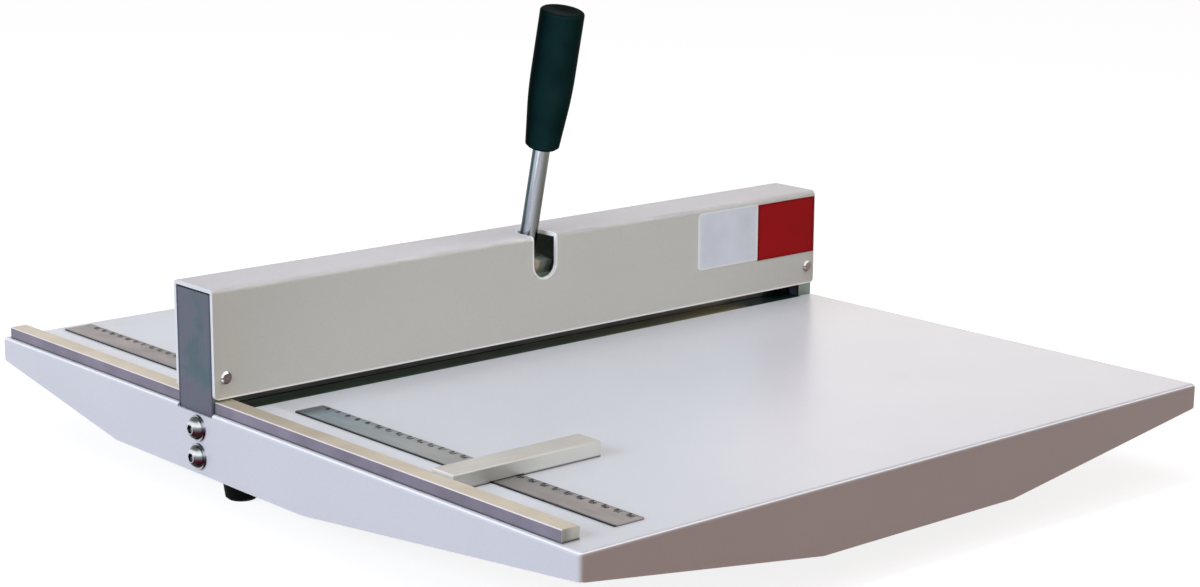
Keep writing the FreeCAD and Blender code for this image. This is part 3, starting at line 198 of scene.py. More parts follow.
# ---------------------------------------------------------------------------------------
# Node helpers
# ---------------------------------------------------------------------------------------
# Sockets of a Mix node that mixes colours, which share their names with its other sockets.
MIX_FIRST, MIX_SECOND, MIX_RESULT = 6, 7, 2


class Nodes:
    """A material's node tree with short calls for the nodes used here."""

    def __init__(self, name):
        self.material = bpy.data.materials.new(name)
        self.material.use_nodes = True
        self.tree = self.material.node_tree
        self.tree.nodes.clear()
        self.output = self.tree.nodes.new("ShaderNodeOutputMaterial")
        self.shader = self.tree.nodes.new("ShaderNodeBsdfPrincipled")
        self.link(self.shader.outputs["BSDF"], self.output.inputs["Surface"])

    def new(self, kind, **values):
        """A node; each value goes to its input of that name or, if it has none, its setting."""
        node = self.tree.nodes.new(kind)
        for name, value in values.items():
            if name in node.inputs:
                node.inputs[name].default_value = value
            else:
                setattr(node, name, value)
        return node

    def link(self, source, target):
        self.tree.links.new(source, target)

    def feed(self, socket, value):
        """Give a socket a constant, or link another node's output to it."""
        if isinstance(value, bpy.types.NodeSocket):
            self.link(value, socket)
        else:
            socket.default_value = value

    def set(self, **values):
        """Constant values on the shader's own sockets; spaces are written as underscores."""
        for name, value in values.items():
            self.shader.inputs[name.replace("_", " ")].default_value = value

    def to(self, name, value):
        """Link an output to one of the shader's own sockets."""
        self.link(value, self.shader.inputs[name])

    def place(self, stretch=(1, 1, 1)):
        """Object coordinates, in metres, stretched along the axes."""
        coordinates = self.new("ShaderNodeTexCoord")
        mapping = self.new("ShaderNodeMapping", Scale=stretch)
        self.link(coordinates.outputs["Object"], mapping.inputs["Vector"])
        return mapping.outputs["Vector"]

    def noise(self, vector, size, detail=2.0, roughness=0.5):
        """Noise whose patches are about size metres across."""
        node = self.new("ShaderNodeTexNoise", Scale=1 / size, Detail=detail,
                        Roughness=roughness)
        self.link(vector, node.inputs["Vector"])
        return node.outputs["Fac"]

    def scratches(self, vector, size, width):
        """Thin lines along the edges of stretched cells: 1 on a line, 0 elsewhere."""
        cells = self.new("ShaderNodeTexVoronoi", feature="DISTANCE_TO_EDGE", Scale=1 / size)
        self.link(vector, cells.inputs["Vector"])
        return self.span(cells.outputs["Distance"], width, 0.0, 0.0, 1.0)

    def span(self, value, low, high, to_low, to_high):
        """A clamped change of range."""
        node = self.new("ShaderNodeMapRange")
        for name, number in zip(("From Min", "From Max", "To Min", "To Max"),
                                (low, high, to_low, to_high)):
            node.inputs[name].default_value = number
        self.link(value, node.inputs["Value"])
        return node.outputs["Result"]

    def math(self, operation, *values):
        node = self.new("ShaderNodeMath", operation=operation)
        for socket, value in zip(node.inputs, values):
            self.feed(socket, value)
        return node.outputs["Value"]

    def dot(self, first, second):
        node = self.new("ShaderNodeVectorMath", operation="DOT_PRODUCT")
        self.feed(node.inputs[0], first)
        self.feed(node.inputs[1], second)
        return node.outputs["Value"]

    def ramp(self, value, *stops):
        """Colours along a value: each stop is (place, red, green, blue)."""
        node = self.new("ShaderNodeValToRGB")
        elements = node.color_ramp.elements
        while len(elements) < len(stops):
            elements.new(0.5)
        for element, (place, red, green, blue) in zip(elements, stops):
            element.position = place
            element.color = (red, green, blue, 1)
        self.link(value, node.inputs["Fac"])
        return node.outputs["Color"]

    def mottled(self, patches, colour, dark, light, low=0.35, high=0.65):
        """A colour that drifts with a noise between two shares of itself."""
        return self.ramp(patches, (low, *scaled(colour, dark)), (high, *scaled(colour, light)))

    def mix(self, factor, first, second):
        node = self.new("ShaderNodeMix", data_type="RGBA")
        self.link(factor, node.inputs["Factor"])
        for socket, value in ((MIX_FIRST, first), (MIX_SECOND, second)):
            self.feed(node.inputs[socket], (*value, 1) if isinstance(value, tuple) else value)
        return node.outputs[MIX_RESULT]

    def coordinate(self, kind, axis):
        """One axis of the piece's own "Object" place, in metres, or of its "Normal"."""
        coordinates = self.new("ShaderNodeTexCoord")
        axes = self.new("ShaderNodeSeparateXYZ")
        self.link(coordinates.outputs[kind], axes.inputs["Vector"])
        return axes.outputs[axis]

    def along(self, axis):
        """The place along one axis of the object, in metres."""
        return self.coordinate("Object", axis)

    def facing(self, direction, low, high):
        """0 to 1 as the piece's own surface turns towards a direction of its own axes."""
        coordinates = self.new("ShaderNodeTexCoord")
        turned = self.dot(coordinates.outputs["Normal"], direction)
        return self.span(turned, low, high, 0.0, 1.0)

    def either_side(self, axis, low, high):
        """0 to 1 as the surface turns to one of the two ends of an axis: "X", "Y" or "Z"."""
        turned = self.math("ABSOLUTE", self.coordinate("Normal", axis))
        return self.span(turned, low, high, 0.0, 1.0)

    def within(self, axis, bottom, top):
        """How far inside a span along an axis the place is, in metres; below 0 outside."""
        place = self.along(axis)
        return self.math("MINIMUM", self.math("SUBTRACT", place, bottom),
                         self.math("SUBTRACT", top, place))

    def border(self, axis, bottom, top, width):
        """1 at both ends of the span from bottom to top along an axis, and 0 from width on."""
        return self.span(self.within(axis, bottom, top), 0.3 * width, width, 1.0, 0.0)

    def edges(self, reach):
        """1 on an edge and 0 away from it, over reach metres."""
        rounded = self.new("ShaderNodeBevel", samples=6, Radius=reach)
        surface = self.new("ShaderNodeNewGeometry")
        alike = self.dot(rounded.outputs["Normal"], surface.outputs["Normal"])
        return self.span(alike, 0.99, 0.85, 0.0, 1.0)

    def bump(self, height, depth):
        """Bump whose full height is depth metres."""
        node = self.new("ShaderNodeBump", Strength=1.0, Distance=depth)
        self.link(height, node.inputs["Height"])
        return node.outputs["Normal"]


def scaled(colour, by):
    return tuple(min(1.0, channel * by) for channel in colour)


# ---------------------------------------------------------------------------------------
# Materials
# ---------------------------------------------------------------------------------------
def powder_coat(name, colour, highlight_colour, highlight_places, bright_edge_reach, rough, top=None,
                primed_places=None, highlight_metallic=None):
    """Fine-textured powder coat: orange peel, faint clouds, dust, and edges brightened partly as
    wear and partly as a painted highlight.

    The places of the painted highlights and primed_places come as functions that return a mask.
    Edges brighten over the given reach in metres. top is another colour for faces that look up, on
    the cover a painted shade, and the last argument is how metallic the brightest painted
    highlights are.
    """
    nodes = Nodes(name)
    where = nodes.place()
    clouds = nodes.noise(where, 120 * MM, detail=3)
    speckle = nodes.noise(where, 1.2 * MM, detail=2)
    base = colour
    if top is not None:
        # Faces that look up take the top colour, on the cover a painted shade.
        base = nodes.mix(nodes.facing((0, 0, 1), 0.6, 0.95), colour, top)
    clouded = nodes.mix(nodes.span(clouds, 0.1, 0.9, 0, 0.08), base, PRIMER)
    coat = nodes.mix(nodes.span(speckle, 0.55, 0.75, 0, 0.06), clouded, PRIMER)
    # Edges brighten, partly as wear and partly as a painted highlight.
    bright_edges = nodes.math("MULTIPLY", nodes.edges(bright_edge_reach), 0.35)
    # The given places take the pale colour as a painted highlight.
    highlighted = highlight_places(nodes)
    skin = nodes.mix(highlighted, nodes.mix(bright_edges, coat, highlight_colour), highlight_colour)
    if primed_places is not None:
        skin = nodes.mix(primed_places(nodes), skin, INNER_PRIMER)
    nodes.to("Base Color", skin)
    if highlight_metallic is not None:
        # The brightest painted highlights turn metallic, to mirror the white surroundings.
        nodes.to("Metallic", nodes.span(highlighted, 0.7, 1.0, 0.0, highlight_metallic))
    nodes.to("Roughness", nodes.span(clouds, 0.1, 0.9, rough - 0.03, rough + 0.05))
    nodes.to("Normal", nodes.bump(nodes.noise(where, 2.2 * MM, detail=1), 0.04 * MM))
    nodes.set(Specular_IOR_Level=0.5)
    return nodes.material


def table_worn(nodes):
    """1 along the bends of the table and, on its top, in the strip between the front rail and the
    front ruler, growing backwards from the rail's front end: both are painted highlights.
    """
    # The bends, where a painted highlight runs.
    rising = nodes.facing((0, 0, 1), 0.45, 0.62)
    not_level = nodes.facing((0, 0, 1), 0.86, 0.76)
    bends = nodes.math("MULTIPLY", rising, not_level)
    # The strip beside the front rail, where a painted highlight lies on the top.
    rail_low, rail_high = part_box("front_rail")
    ruler_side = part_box("front_ruler")[0].x
    beside = nodes.span(nodes.within("X", rail_high.x, ruler_side), 0.0, 3 * MM, 0.0, 0.55)
    behind = nodes.span(nodes.along("Y"), rail_low.y, rail_low.y + 60 * MM, 0.0, 1.0)
    flat = nodes.facing((0, 0, 1), 0.9, 0.99)
    strip = nodes.math("MULTIPLY", beside, behind)
    return nodes.math("MAXIMUM", bends, nodes.math("MULTIPLY", strip, flat))


def cover_worn(nodes):
    """Painted highlights on the sheet's cut edges, at the ends, along the lower rim and round the
    lever's slot.
    """
    low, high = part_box("beam_cover")
    ends = nodes.either_side("X", 0.15, 0.5)
    below_top = nodes.span(nodes.along("Z"), high.z - 8 * MM, high.z - 5 * MM, 1.0, 0.0)
    slot_foot = nodes.math("MULTIPLY", nodes.facing((0, 0, 1), 0.1, 0.4), below_top)
    cut = nodes.math("MULTIPLY", nodes.math("MAXIMUM", ends, slot_foot), 0.6)
    lower_rim = nodes.span(nodes.along("Z"), low.z + 0.8 * MM, low.z + 1.4 * MM, 1.0, 0.0)
    rims = nodes.math("MAXIMUM", lower_rim, slot_rim(nodes))
    return nodes.math("MAXIMUM", cut, rims)


def slot_rim(nodes):
    """1 on a narrow line round the lever's slot, in the cover's front and top, where a painted
    highlight goes.
    """
    aside = nodes.math("ABSOLUTE", nodes.math("SUBTRACT", nodes.along("X"), SLOT_MIDDLE))
    under = nodes.math("MINIMUM", nodes.math("SUBTRACT", nodes.along("Z"), SLOT_ROUND_Z), 0.0)
    behind = nodes.math("MAXIMUM", nodes.math("SUBTRACT", nodes.along("Y"), SLOT_ROUND_Y), 0.0)
    x_square, z_square, y_square = (nodes.math("MULTIPLY", offset, offset)
                                    for offset in (aside, under, behind))
    squares = nodes.math("ADD", nodes.math("ADD", x_square, z_square), y_square)
    away = nodes.math("SQRT", squares)
    return nodes.span(away, SLOT_HALF + 0.8 * MM, SLOT_HALF + 1.3 * MM, 1.0, 0.0)


def cover_primed(nodes):
    """1 on the cover's inner faces, which keep only a pale grey-green primer."""
    low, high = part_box("beam_cover")
    depth = nodes.math("MINIMUM", nodes.within("Y", low.y, high.y),
                       nodes.math("SUBTRACT", high.z, nodes.along("Z")))
    return nodes.span(depth, COVER_SHEET - 0.08 * MM, COVER_SHEET - 0.02 * MM, 0.0, 1.0)


def rolled_steel(name, colour, rough, grain, stretch=(1, 1, 1), specular=0.5):
    """Bright steel with a drawn grain along one axis and soft stains of drifting hue."""
    nodes = Nodes(name)
    lines = nodes.noise(nodes.place(stretch), grain, detail=4, roughness=0.65)
    stains = nodes.noise(nodes.place(), 18 * MM, detail=5, roughness=0.6)
    red, green, blue = colour
    cool = (red * 0.92, green * 1.06, blue)
    warm = (red * 1.15, green * 0.93, blue)
    tint = nodes.ramp(stains, (0.3, *scaled(cool, 0.8)), (0.5, *colour),
                      (0.72, *scaled(warm, 1.2)))
    nodes.to("Base Color", nodes.mix(nodes.span(lines, 0.4, 0.7, 0, 0.35), tint,
                                     scaled(colour, 1.5)))
    nodes.to("Roughness", nodes.span(stains, 0.3, 0.7, rough - 0.07, rough + 0.09))
    nodes.to("Normal", nodes.bump(lines, 0.02 * MM))
    nodes.set(Metallic=0.9, Specular_IOR_Level=specular)
    return nodes.material


def black_oxide(name, low, high):
    """Oiled black steel, greenish, with a painted olive-brown reflection right of the middle."""
    nodes = Nodes(name)
    lines = nodes.noise(nodes.place((0.04, 1, 1)), 2 * MM, detail=4, roughness=0.65)
    stains = nodes.noise(nodes.place((0.3, 1, 1)), 10 * MM, detail=4)
    wander = nodes.span(stains, 0.2, 0.8, -20 * MM, 20 * MM)
    place = nodes.math("ADD", nodes.along("X"), wander)
    # Painted olive-brown reflection right of the middle, along X.
    tint = nodes.ramp(nodes.span(place, low.x, high.x, 0.0, 1.0), *OXIDE_AND_REFLECTION_TONES)
    nodes.to("Base Color", nodes.mix(nodes.span(lines, 0.4, 0.7, 0, 0.15), tint, OXIDE_GRAIN))
    nodes.to("Roughness", nodes.span(stains, 0.3, 0.7, 0.38, 0.52))
    nodes.to("Normal", nodes.bump(lines, 0.02 * MM))
    nodes.set(Specular_IOR_Level=0.02)
    return nodes.material


def post_steel(name, low, high):
    """Blue-grey drawn steel: a painted shade darkens the wide faces towards their long borders;
    sawn ones are paler.
    """
    nodes = Nodes(name)
    lines = nodes.noise(nodes.place((1, 1, 0.05)), 1.6 * MM, detail=4, roughness=0.65)
    stains = nodes.noise(nodes.place(), 22 * MM, detail=5, roughness=0.55)
    tint = nodes.ramp(stains, *POST_TONES)
    grained = nodes.mix(nodes.span(lines, 0.42, 0.7, 0, 0.07), tint, POST_GRAIN)
    wide = nodes.either_side("X", 0.6, 0.9)
    # Painted shade along the long borders of the wide faces.
    rim = nodes.math("MULTIPLY", nodes.math("MULTIPLY", wide, 0.75),
                     nodes.border("Y", low.y, high.y, 2.4 * MM))
    faces = nodes.mix(wide, POST_SAWN, grained)
    nodes.to("Base Color", nodes.mix(rim, faces, POST_RIM_SHADE))
    nodes.to("Roughness", nodes.span(stains, 0.3, 0.7, 0.38, 0.52))
    nodes.to("Normal", nodes.bump(lines, 0.01 * MM))
    nodes.set(Metallic=0.9)
    return nodes.material


def anodised(name, colour, left, front, low, high, stretch):
    """Satin anodised aluminium, brushed along its length, with a painted highlight on the chamfer,
    painted reflection on the faces turned left, painted light and shade across the front faces and
    a painted shadow along the foot.
    """
    nodes = Nodes(name)
    lines = nodes.noise(nodes.place(stretch), 0.6 * MM, detail=3, roughness=0.6)
    clouds = nodes.noise(nodes.place(), 30 * MM, detail=4)
    brushed = nodes.mix(nodes.span(lines, 0.45, 0.7, 0, 0.4),
                        nodes.mottled(clouds, colour, 0.92, 1.06), scaled(colour, 0.85))
    # A painted highlight on the chamfer that looks up and left.
    chamfer = nodes.facing((-0.707, 0, 0.707), 0.93, 0.98)
    edged = nodes.mix(chamfer, brushed, ALUMINIUM_CHAMFER_HIGHLIGHT)
    # Faces turned to -X take the left colour, painted reflection and light.
    sided = nodes.mix(nodes.facing((-1, 0, 0), 0.8, 0.95), edged,
                      nodes.mottled(clouds, left, 0.85, 1.15))
    # Faces turned to -Y take the front colour, with painted light and shade across X.
    across = nodes.span(nodes.along("X"), low.x, high.x, 0.0, 1.0)
    front_face = nodes.ramp(across, (0.0, *scaled(front, 0.72)), (0.22, *scaled(front, 0.62)),
                            (0.6, *front), (1.0, *scaled(front, 1.05)))
    faces = nodes.mix(nodes.facing((0, -1, 0), 0.8, 0.95), sided, front_face)
    # A painted contact shadow along the foot.
    foot = nodes.span(nodes.along("Z"), low.z + 0.5 * MM, low.z + 1.3 * MM, 0.85, 0.0)
    foot_shadowed = nodes.mix(foot, faces, ALUMINIUM_FOOT_SHADOW)
    bright_edges = nodes.math("MULTIPLY", nodes.edges(0.4 * MM), 0.3)
    nodes.to("Base Color", nodes.mix(bright_edges, foot_shadowed, ALUMINIUM_WORN))
    nodes.to("Roughness", nodes.span(lines, 0.3, 0.7, 0.34, 0.5))
    nodes.to("Normal", nodes.bump(lines, 0.012 * MM))
    nodes.set(Metallic=0.75)
    return nodes.material


def ruler_steel(name, low, high):
    """Satin stainless rule: brushed along its length, with a painted shade on its outer edge and
    sides and a painted reflection drifting along it.
    """
    nodes = Nodes(name)
    lines = nodes.noise(nodes.place((1, 0.02, 1)), 0.7 * MM, detail=4, roughness=0.65)
    smears = nodes.noise(nodes.place((1, 0.35, 1)), 12 * MM, detail=4)
    # Painted reflection and shade along the length.
    painted_reflection_along = nodes.ramp(nodes.span(nodes.along("Y"), low.y, high.y, 0.0, 1.0), *RULER_REFLECTION_TONES)
    smeared = nodes.mix(nodes.span(smears, 0.3, 0.7, 0.0, 0.45), painted_reflection_along, RULER_SMEAR)
    brushed = nodes.mix(nodes.span(lines, 0.42, 0.7, 0, 0.3), smeared, RULER_GRAIN)
    # Painted shade on the outer edge of the top and on the sides; the span reaches past the inner
    # edge so only the outer side darkens.
    beyond_inner_edge = high.x + 10 * MM
    rim = nodes.math("MAXIMUM", nodes.border("X", low.x, beyond_inner_edge, 1.7 * MM),
                     nodes.either_side("X", 0.4, 0.7))
    nodes.to("Base Color", nodes.mix(rim, brushed, RULER_RIM_SHADE))
    nodes.to("Roughness", nodes.span(smears, 0.3, 0.7, 0.26, 0.42))
    nodes.to("Normal", nodes.bump(lines, 0.01 * MM))
    nodes.set(Metallic=0.9)
    return nodes.material


def turned_metal(name, towards, rough, reflection_tones, end_colour=None):
    """Polished metal with painted reflections and highlights round the piece, hairline marks and
    smears.
    """
    nodes = Nodes(name)
    smears = nodes.noise(nodes.place(), 6 * MM, detail=3)
    marks = nodes.scratches(nodes.place((1, 1, 0.1)), 4 * MM, 0.02)
    # Painted reflections and highlights, by how the surface turns towards a direction.
    painted_reflection = nodes.ramp(nodes.facing(towards, -1.0, 1.0), *reflection_tones)
    if end_colour is not None:
        painted_reflection = nodes.mix(nodes.either_side("X", 0.93, 0.99), painted_reflection, end_colour)
    nodes.to("Base Color", nodes.mix(nodes.span(smears, 0.35, 0.7, 0.0, 0.05), painted_reflection,
                                     POLISH_SMEAR))
    smeared = nodes.span(smears, 0.3, 0.7, rough - 0.03, rough + 0.05)
    nodes.to("Roughness", nodes.math("MAXIMUM", smeared, nodes.math("MULTIPLY", marks, 0.3)))
    nodes.set(Metallic=1.0)
    return nodes.material


def hub_steel(name, low, high):
    """Grey-green blackened hub with a tan painted highlight on its front, right of the middle."""
    nodes = Nodes(name)
    stains = nodes.noise(nodes.place(), 6 * MM, detail=4)
    middle, top, soft = (low.x + high.x) / 2, high.z, 3 * MM
    aside = nodes.span(nodes.within("X", middle, middle + 7 * MM), 0.0, soft, 0.0, 1.0)
    height = nodes.span(nodes.within("Z", top - 11 * MM, top - 1 * MM), 0.0, soft, 0.0, 1.0)
    # The tan painted highlight on the front.
    nodes.to("Base Color", nodes.mix(nodes.math("MULTIPLY", aside, height),
                                     nodes.ramp(stains, *HUB_TONES), HUB_HIGHLIGHT))
    nodes.to("Roughness", nodes.span(stains, 0.3, 0.7, 0.4, 0.55))
    nodes.to("Normal", nodes.bump(stains, 0.02 * MM))
    nodes.set(Metallic=0.2, Specular_IOR_Level=0.2)
    return nodes.material


def moulded(name, colour, rough, specular, shaded=None):
    """Moulded plastic or rubber with a soft skin texture and a painted sheen on the side turned
    front left.
    """
    nodes = Nodes(name)
    where = nodes.place()
    skin = nodes.noise(where, 1.5 * MM, detail=2)
    sheen_patches = nodes.noise(where, 20 * MM, detail=4)
    painted_sheen = nodes.mottled(sheen_patches, colour, 1.0, 1.5, high=0.7)
    # Faces turned front left take the painted sheen; the rest the shaded colour, a painted shade,
    # where one is given.
    side = nodes.facing((-0.45, -0.89, 0), 0.3, 1.0)
    nodes.to("Base Color", nodes.mix(side, shaded or colour, painted_sheen))
    nodes.to("Roughness", nodes.span(sheen_patches, 0.3, 0.7, rough - 0.04, rough + 0.08))
    nodes.to("Normal", nodes.bump(skin, 0.03 * MM))
    nodes.set(Specular_IOR_Level=specular)
    return nodes.material


def bronze(name):
    """Sintered bronze with dark pores."""
    nodes = Nodes(name)
    pores = nodes.noise(nodes.place(), 0.8 * MM, detail=2)
    nodes.to("Base Color", nodes.ramp(pores, *BRONZE_TONES))
    nodes.to("Roughness", nodes.span(pores, 0.3, 0.7, 0.3, 0.45))
    nodes.set(Metallic=0.9)
    return nodes.material


def film(name, colour, rim_colour, low, high, specular):
    """Stuck-on film with a rim of another tone near its outline, between two corners."""
    nodes = Nodes(name)
    where = nodes.place()
    clouds = nodes.noise(where, 20 * MM, detail=3)
    rim = nodes.math("MAXIMUM", nodes.border("X", low.x, high.x, 2.8 * MM),
                     nodes.border("Z", low.z, high.z, 1.6 * MM))
    nodes.to("Base Color", nodes.mix(rim, nodes.mottled(clouds, colour, 0.96, 1.04),
                                     rim_colour))
    nodes.to("Roughness", nodes.span(clouds, 0.3, 0.7, 0.32, 0.44))
    nodes.to("Normal", nodes.bump(nodes.noise(where, 6 * MM, detail=2), 0.08 * MM))
    nodes.set(Specular_IOR_Level=specular)
    return nodes.material


def ink(name, colour):
    """Etched and filled graduations."""
    nodes = Nodes(name)
    spread = nodes.noise(nodes.place(), 0.8 * MM, detail=2)
    nodes.to("Base Color", nodes.mottled(spread, colour, 0.6, 1.5, 0.3, 0.7))
    nodes.to("Roughness", nodes.span(spread, 0.3, 0.7, 0.45, 0.6))
    nodes.set(Specular_IOR_Level=0.2)
    return nodes.material


materials = {
    # The table carries painted highlights on its bends, pale and metallic so that they mirror the
    # white surroundings, and beside its front rail.
    "table_paint": powder_coat("table_paint", TABLE_GREY, TABLE_HIGHLIGHT, table_worn, 0.8 * MM,
                               0.29, highlight_metallic=0.8),
    # The cover's cut edges and the rim of its slot carry painted highlights.
    "cover_paint": powder_coat("cover_paint", COVER_GREY, COVER_HIGHLIGHT, cover_worn, 1.0 * MM,
                               # Its faces that look up take a painted shade.
                               0.55, top=COVER_TOP_SHADE, primed_places=cover_primed),
    "frame_steel": post_steel("frame_steel", *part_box("post_left")),
    "black_steel": black_oxide("black_steel", *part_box("press_bar")),
    "ground_steel": rolled_steel("ground_steel", (0.42, 0.42, 0.43), 0.30, 0.8 * MM,
                                 stretch=(0.03, 1, 1)),
    # Bolts: a dark painted reflection below and a painted highlight above.
    "bright_chrome": turned_metal("bright_chrome", (0, 0, 1), 0.14, BOLT_REFLECTION_TONES, BOLT_END),
    "zinc_steel": rolled_steel("zinc_steel", (0.45, 0.44, 0.40), 0.36, 1 * MM),
    "bush_bronze": bronze("bush_bronze"),
    # The rail's second colour is a painted reflection for its left faces, its third painted light
    # and shade for its front faces.
    "rail_aluminium": anodised("rail_aluminium", (0.64, 0.565, 0.45), (0.207, 0.190, 0.252),
                               (0.56, 0.535, 0.475), *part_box("front_rail"), (1, 0.02, 1)),
    "ruler_steel": ruler_steel("ruler_steel", *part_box("front_ruler")),
    # The grip's second colour is a painted shade for its sides turned away.
    "grip_plastic": moulded("grip_plastic", (0.0066, 0.0255, 0.0262), 0.36, 0.003,
                            shaded=(0.0004, 0.0035, 0.0036)),
    "foot_rubber": moulded("foot_rubber", (0.002, 0.003, 0.003), 0.6, 0.05),
}

# Nodes whose finish differs a little from the rest of their slot.
dark_steel = rolled_steel("dark_steel", (0.03, 0.034, 0.03), 0.4, 1 * MM, specular=0.2)
variants = {
    # The rod's and the screws' tones are painted reflections and highlights.
    "lever_rod": turned_metal("rod_chrome", (0.75, -0.66, 0), 0.12, ROD_REFLECTION_TONES),
    "cover_screws": turned_metal("cover_screw_steel", (-0.75, 0, 0.66), 0.22, SCREW_REFLECTION_TONES),
    # The stop's second colour is painted light for its left end, its third painted light and shade
    # for its front face.
    "paper_stop": anodised("stop_aluminium", (0.60, 0.565, 0.52), (0.79, 0.83, 0.90),
                           (0.77, 0.78, 0.73), *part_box("paper_stop"), (0.02, 1, 1)),
    "lever_hub": hub_steel("hub_steel", *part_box("lever_hub")),
    "clamp_screws": dark_steel,
    "guide_pin_left": dark_steel,
    "guide_pin_right": dark_steel,
}
ink_black = ink("ink_black", (0.018, 0.018, 0.022))

for subpart in frame["record"]["subparts"]:
    finish = variants.get(subpart["node"], materials[subpart["material_slot"]])
    for material_slot in frame["nodes"][subpart["node"]].material_slots:
        material_slot.material = finish


# ---------------------------------------------------------------------------------------
# Small pieces that the solids leave to this script
# ---------------------------------------------------------------------------------------
def new_piece(name, data, material, place=None):
    """A piece of the fixed frame, from a mesh or a text."""
    piece = bpy.data.objects.new(name, data)
    bpy.context.scene.collection.objects.link(piece)
    if place is not None:
        piece.matrix_world = place
    piece.data.materials.append(material)
    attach(piece, "frame")
    return piece


def finished_mesh(name, mesh):
    """A bmesh's data block; the bmesh is freed."""
    data = bpy.data.meshes.new(name)
    mesh.to_mesh(data)
    mesh.free()
    return data


def rounded_plate(name, low, high, radii, thick):
    """A thin plate in the X-Z plane, standing out towards -Y.

    The radii are those of the corners in turn from low X, low Z by way of high X, low Z.
    """
    corners = ((low.x, low.z, 180), (high.x, low.z, 270), (high.x, high.z, 0),
               (low.x, high.z, 90))
    inward = ((1, 1), (-1, 1), (-1, -1), (1, -1))
    outline = []
    for (x, z, start), (step_x, step_z), radius in zip(corners, inward, radii):
        for step in range(PLATE_ARC_STEPS + 1):
            angle = math.radians(start + 90 / PLATE_ARC_STEPS * step)
            outline.append((x + step_x * radius + radius * math.cos(angle),
                            z + step_z * radius + radius * math.sin(angle)))
    mesh = bmesh.new()
    face = mesh.faces.new([mesh.verts.new((x, low.y, z)) for x, z in outline])
    raised = bmesh.ops.extrude_face_region(mesh, geom=[face])
    moved = [item for item in raised["geom"] if isinstance(item, bmesh.types.BMVert)]
    bmesh.ops.translate(mesh, verts=moved, vec=(0, -thick, 0))
    bmesh.ops.recalc_face_normals(mesh, faces=mesh.faces)
    return finished_mesh(name, mesh)


def add_plates():
    """Two bare plates at the right end of the cover's front."""
    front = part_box("beam_cover")[0].y
    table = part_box("base_tray")[1].z
    for name, left, right, low, high, radii, colour, rim_colour, specular in PLATES:
        bottom, top = Vector((left, front, table + low)), Vector((right, front, table + high))
        mesh = rounded_plate(name, bottom, top, radii, PLATE_THICKNESS)
        finish = film(name, colour, rim_colour, bottom, top, specular)
        new_piece(name, mesh, finish)


def tick(millimetre):
    """Length and half width of a graduation."""
    for every, length, half in TICKS:
        if millimetre % every == 0:
            return length, half


def add_graduations(node, crease_y, first, last, away):
    """Millimetre lines along the ruler's inner edge, counted from the crease line."""
    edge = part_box(node)[1]
    mesh = bmesh.new()
    for millimetre in range(first, last + 1):
        y = crease_y + away * millimetre * MM
        length, half = tick(millimetre)
        start, end = edge.x - length, edge.x - LINE_MARGIN
        corners = ((start, y - half), (end, y - half), (end, y + half), (start, y + half))
        mesh.faces.new([mesh.verts.new((x, along, edge.z + LINE_LIFT))
                        for x, along in corners])
    name = node + "_lines"
    new_piece(name, finished_mesh(name, mesh), ink_black)


def add_figures(node, crease_y, first, last, away):
    """A centimetre figure beside each long line."""
    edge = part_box(node)[1]
    for centimetre in range(first, last + 1):
        text = bpy.data.curves.new("%s_figure_%d" % (node, centimetre), "FONT")
        text.body = str(centimetre)
        text.size = FIGURE_SIZE
        text.offset = FIGURE_BOLDNESS
        text.align_x = "LEFT"
        text.align_y = "CENTER"
        y = crease_y + away * centimetre * 10 * MM
        corner = (edge.x - FIGURE_INSET, y - FIGURE_SHIFT, edge.z + FIGURE_LIFT)
        place = Matrix.Translation(corner) @ Matrix.Rotation(math.radians(-90), 4, "Z")
        new_piece(text.name, text, ink_black, place)


def add_ruler_prints():
    blade_low, blade_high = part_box("creasing_blade")
    crease_y = (blade_low.y + blade_high.y) / 2
    for node, millimetres, centimetres, away in RULER_PRINTS:
        add_graduations(node, crease_y, *millimetres, away)
        add_figures(node, crease_y, *centimetres, away)


def add_springs():
    """The return springs, copied onto the fixed frame with meshes of their own, the CAD ones
    hidden; on the machine they shorten under the press bar as it comes down.
    """
    for side in ("left", "right"):
        name = "return_spring_" + side
        node = frame["nodes"][name]
        mesh = node.data.copy()
        mesh.transform(node.matrix_world)
        mesh.materials.clear()
        spring = new_piece("squashing_spring_" + side, mesh, dark_steel)
        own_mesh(spring)
        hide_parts(name)


add_plates()
add_ruler_prints()
add_springs()


# ---------------------------------------------------------------------------------------
# Floor, light and camera
# ---------------------------------------------------------------------------------------
def seen_rays(nodes):
    """1 where the camera sees a thing, also in metal or through glass."""
    path = nodes.new("ShaderNodeLightPath")
    seen = nodes.math("MAXIMUM", path.outputs["Is Camera Ray"], path.outputs["Is Glossy Ray"])
    return nodes.math("MAXIMUM", seen, path.outputs["Is Transmission Ray"])


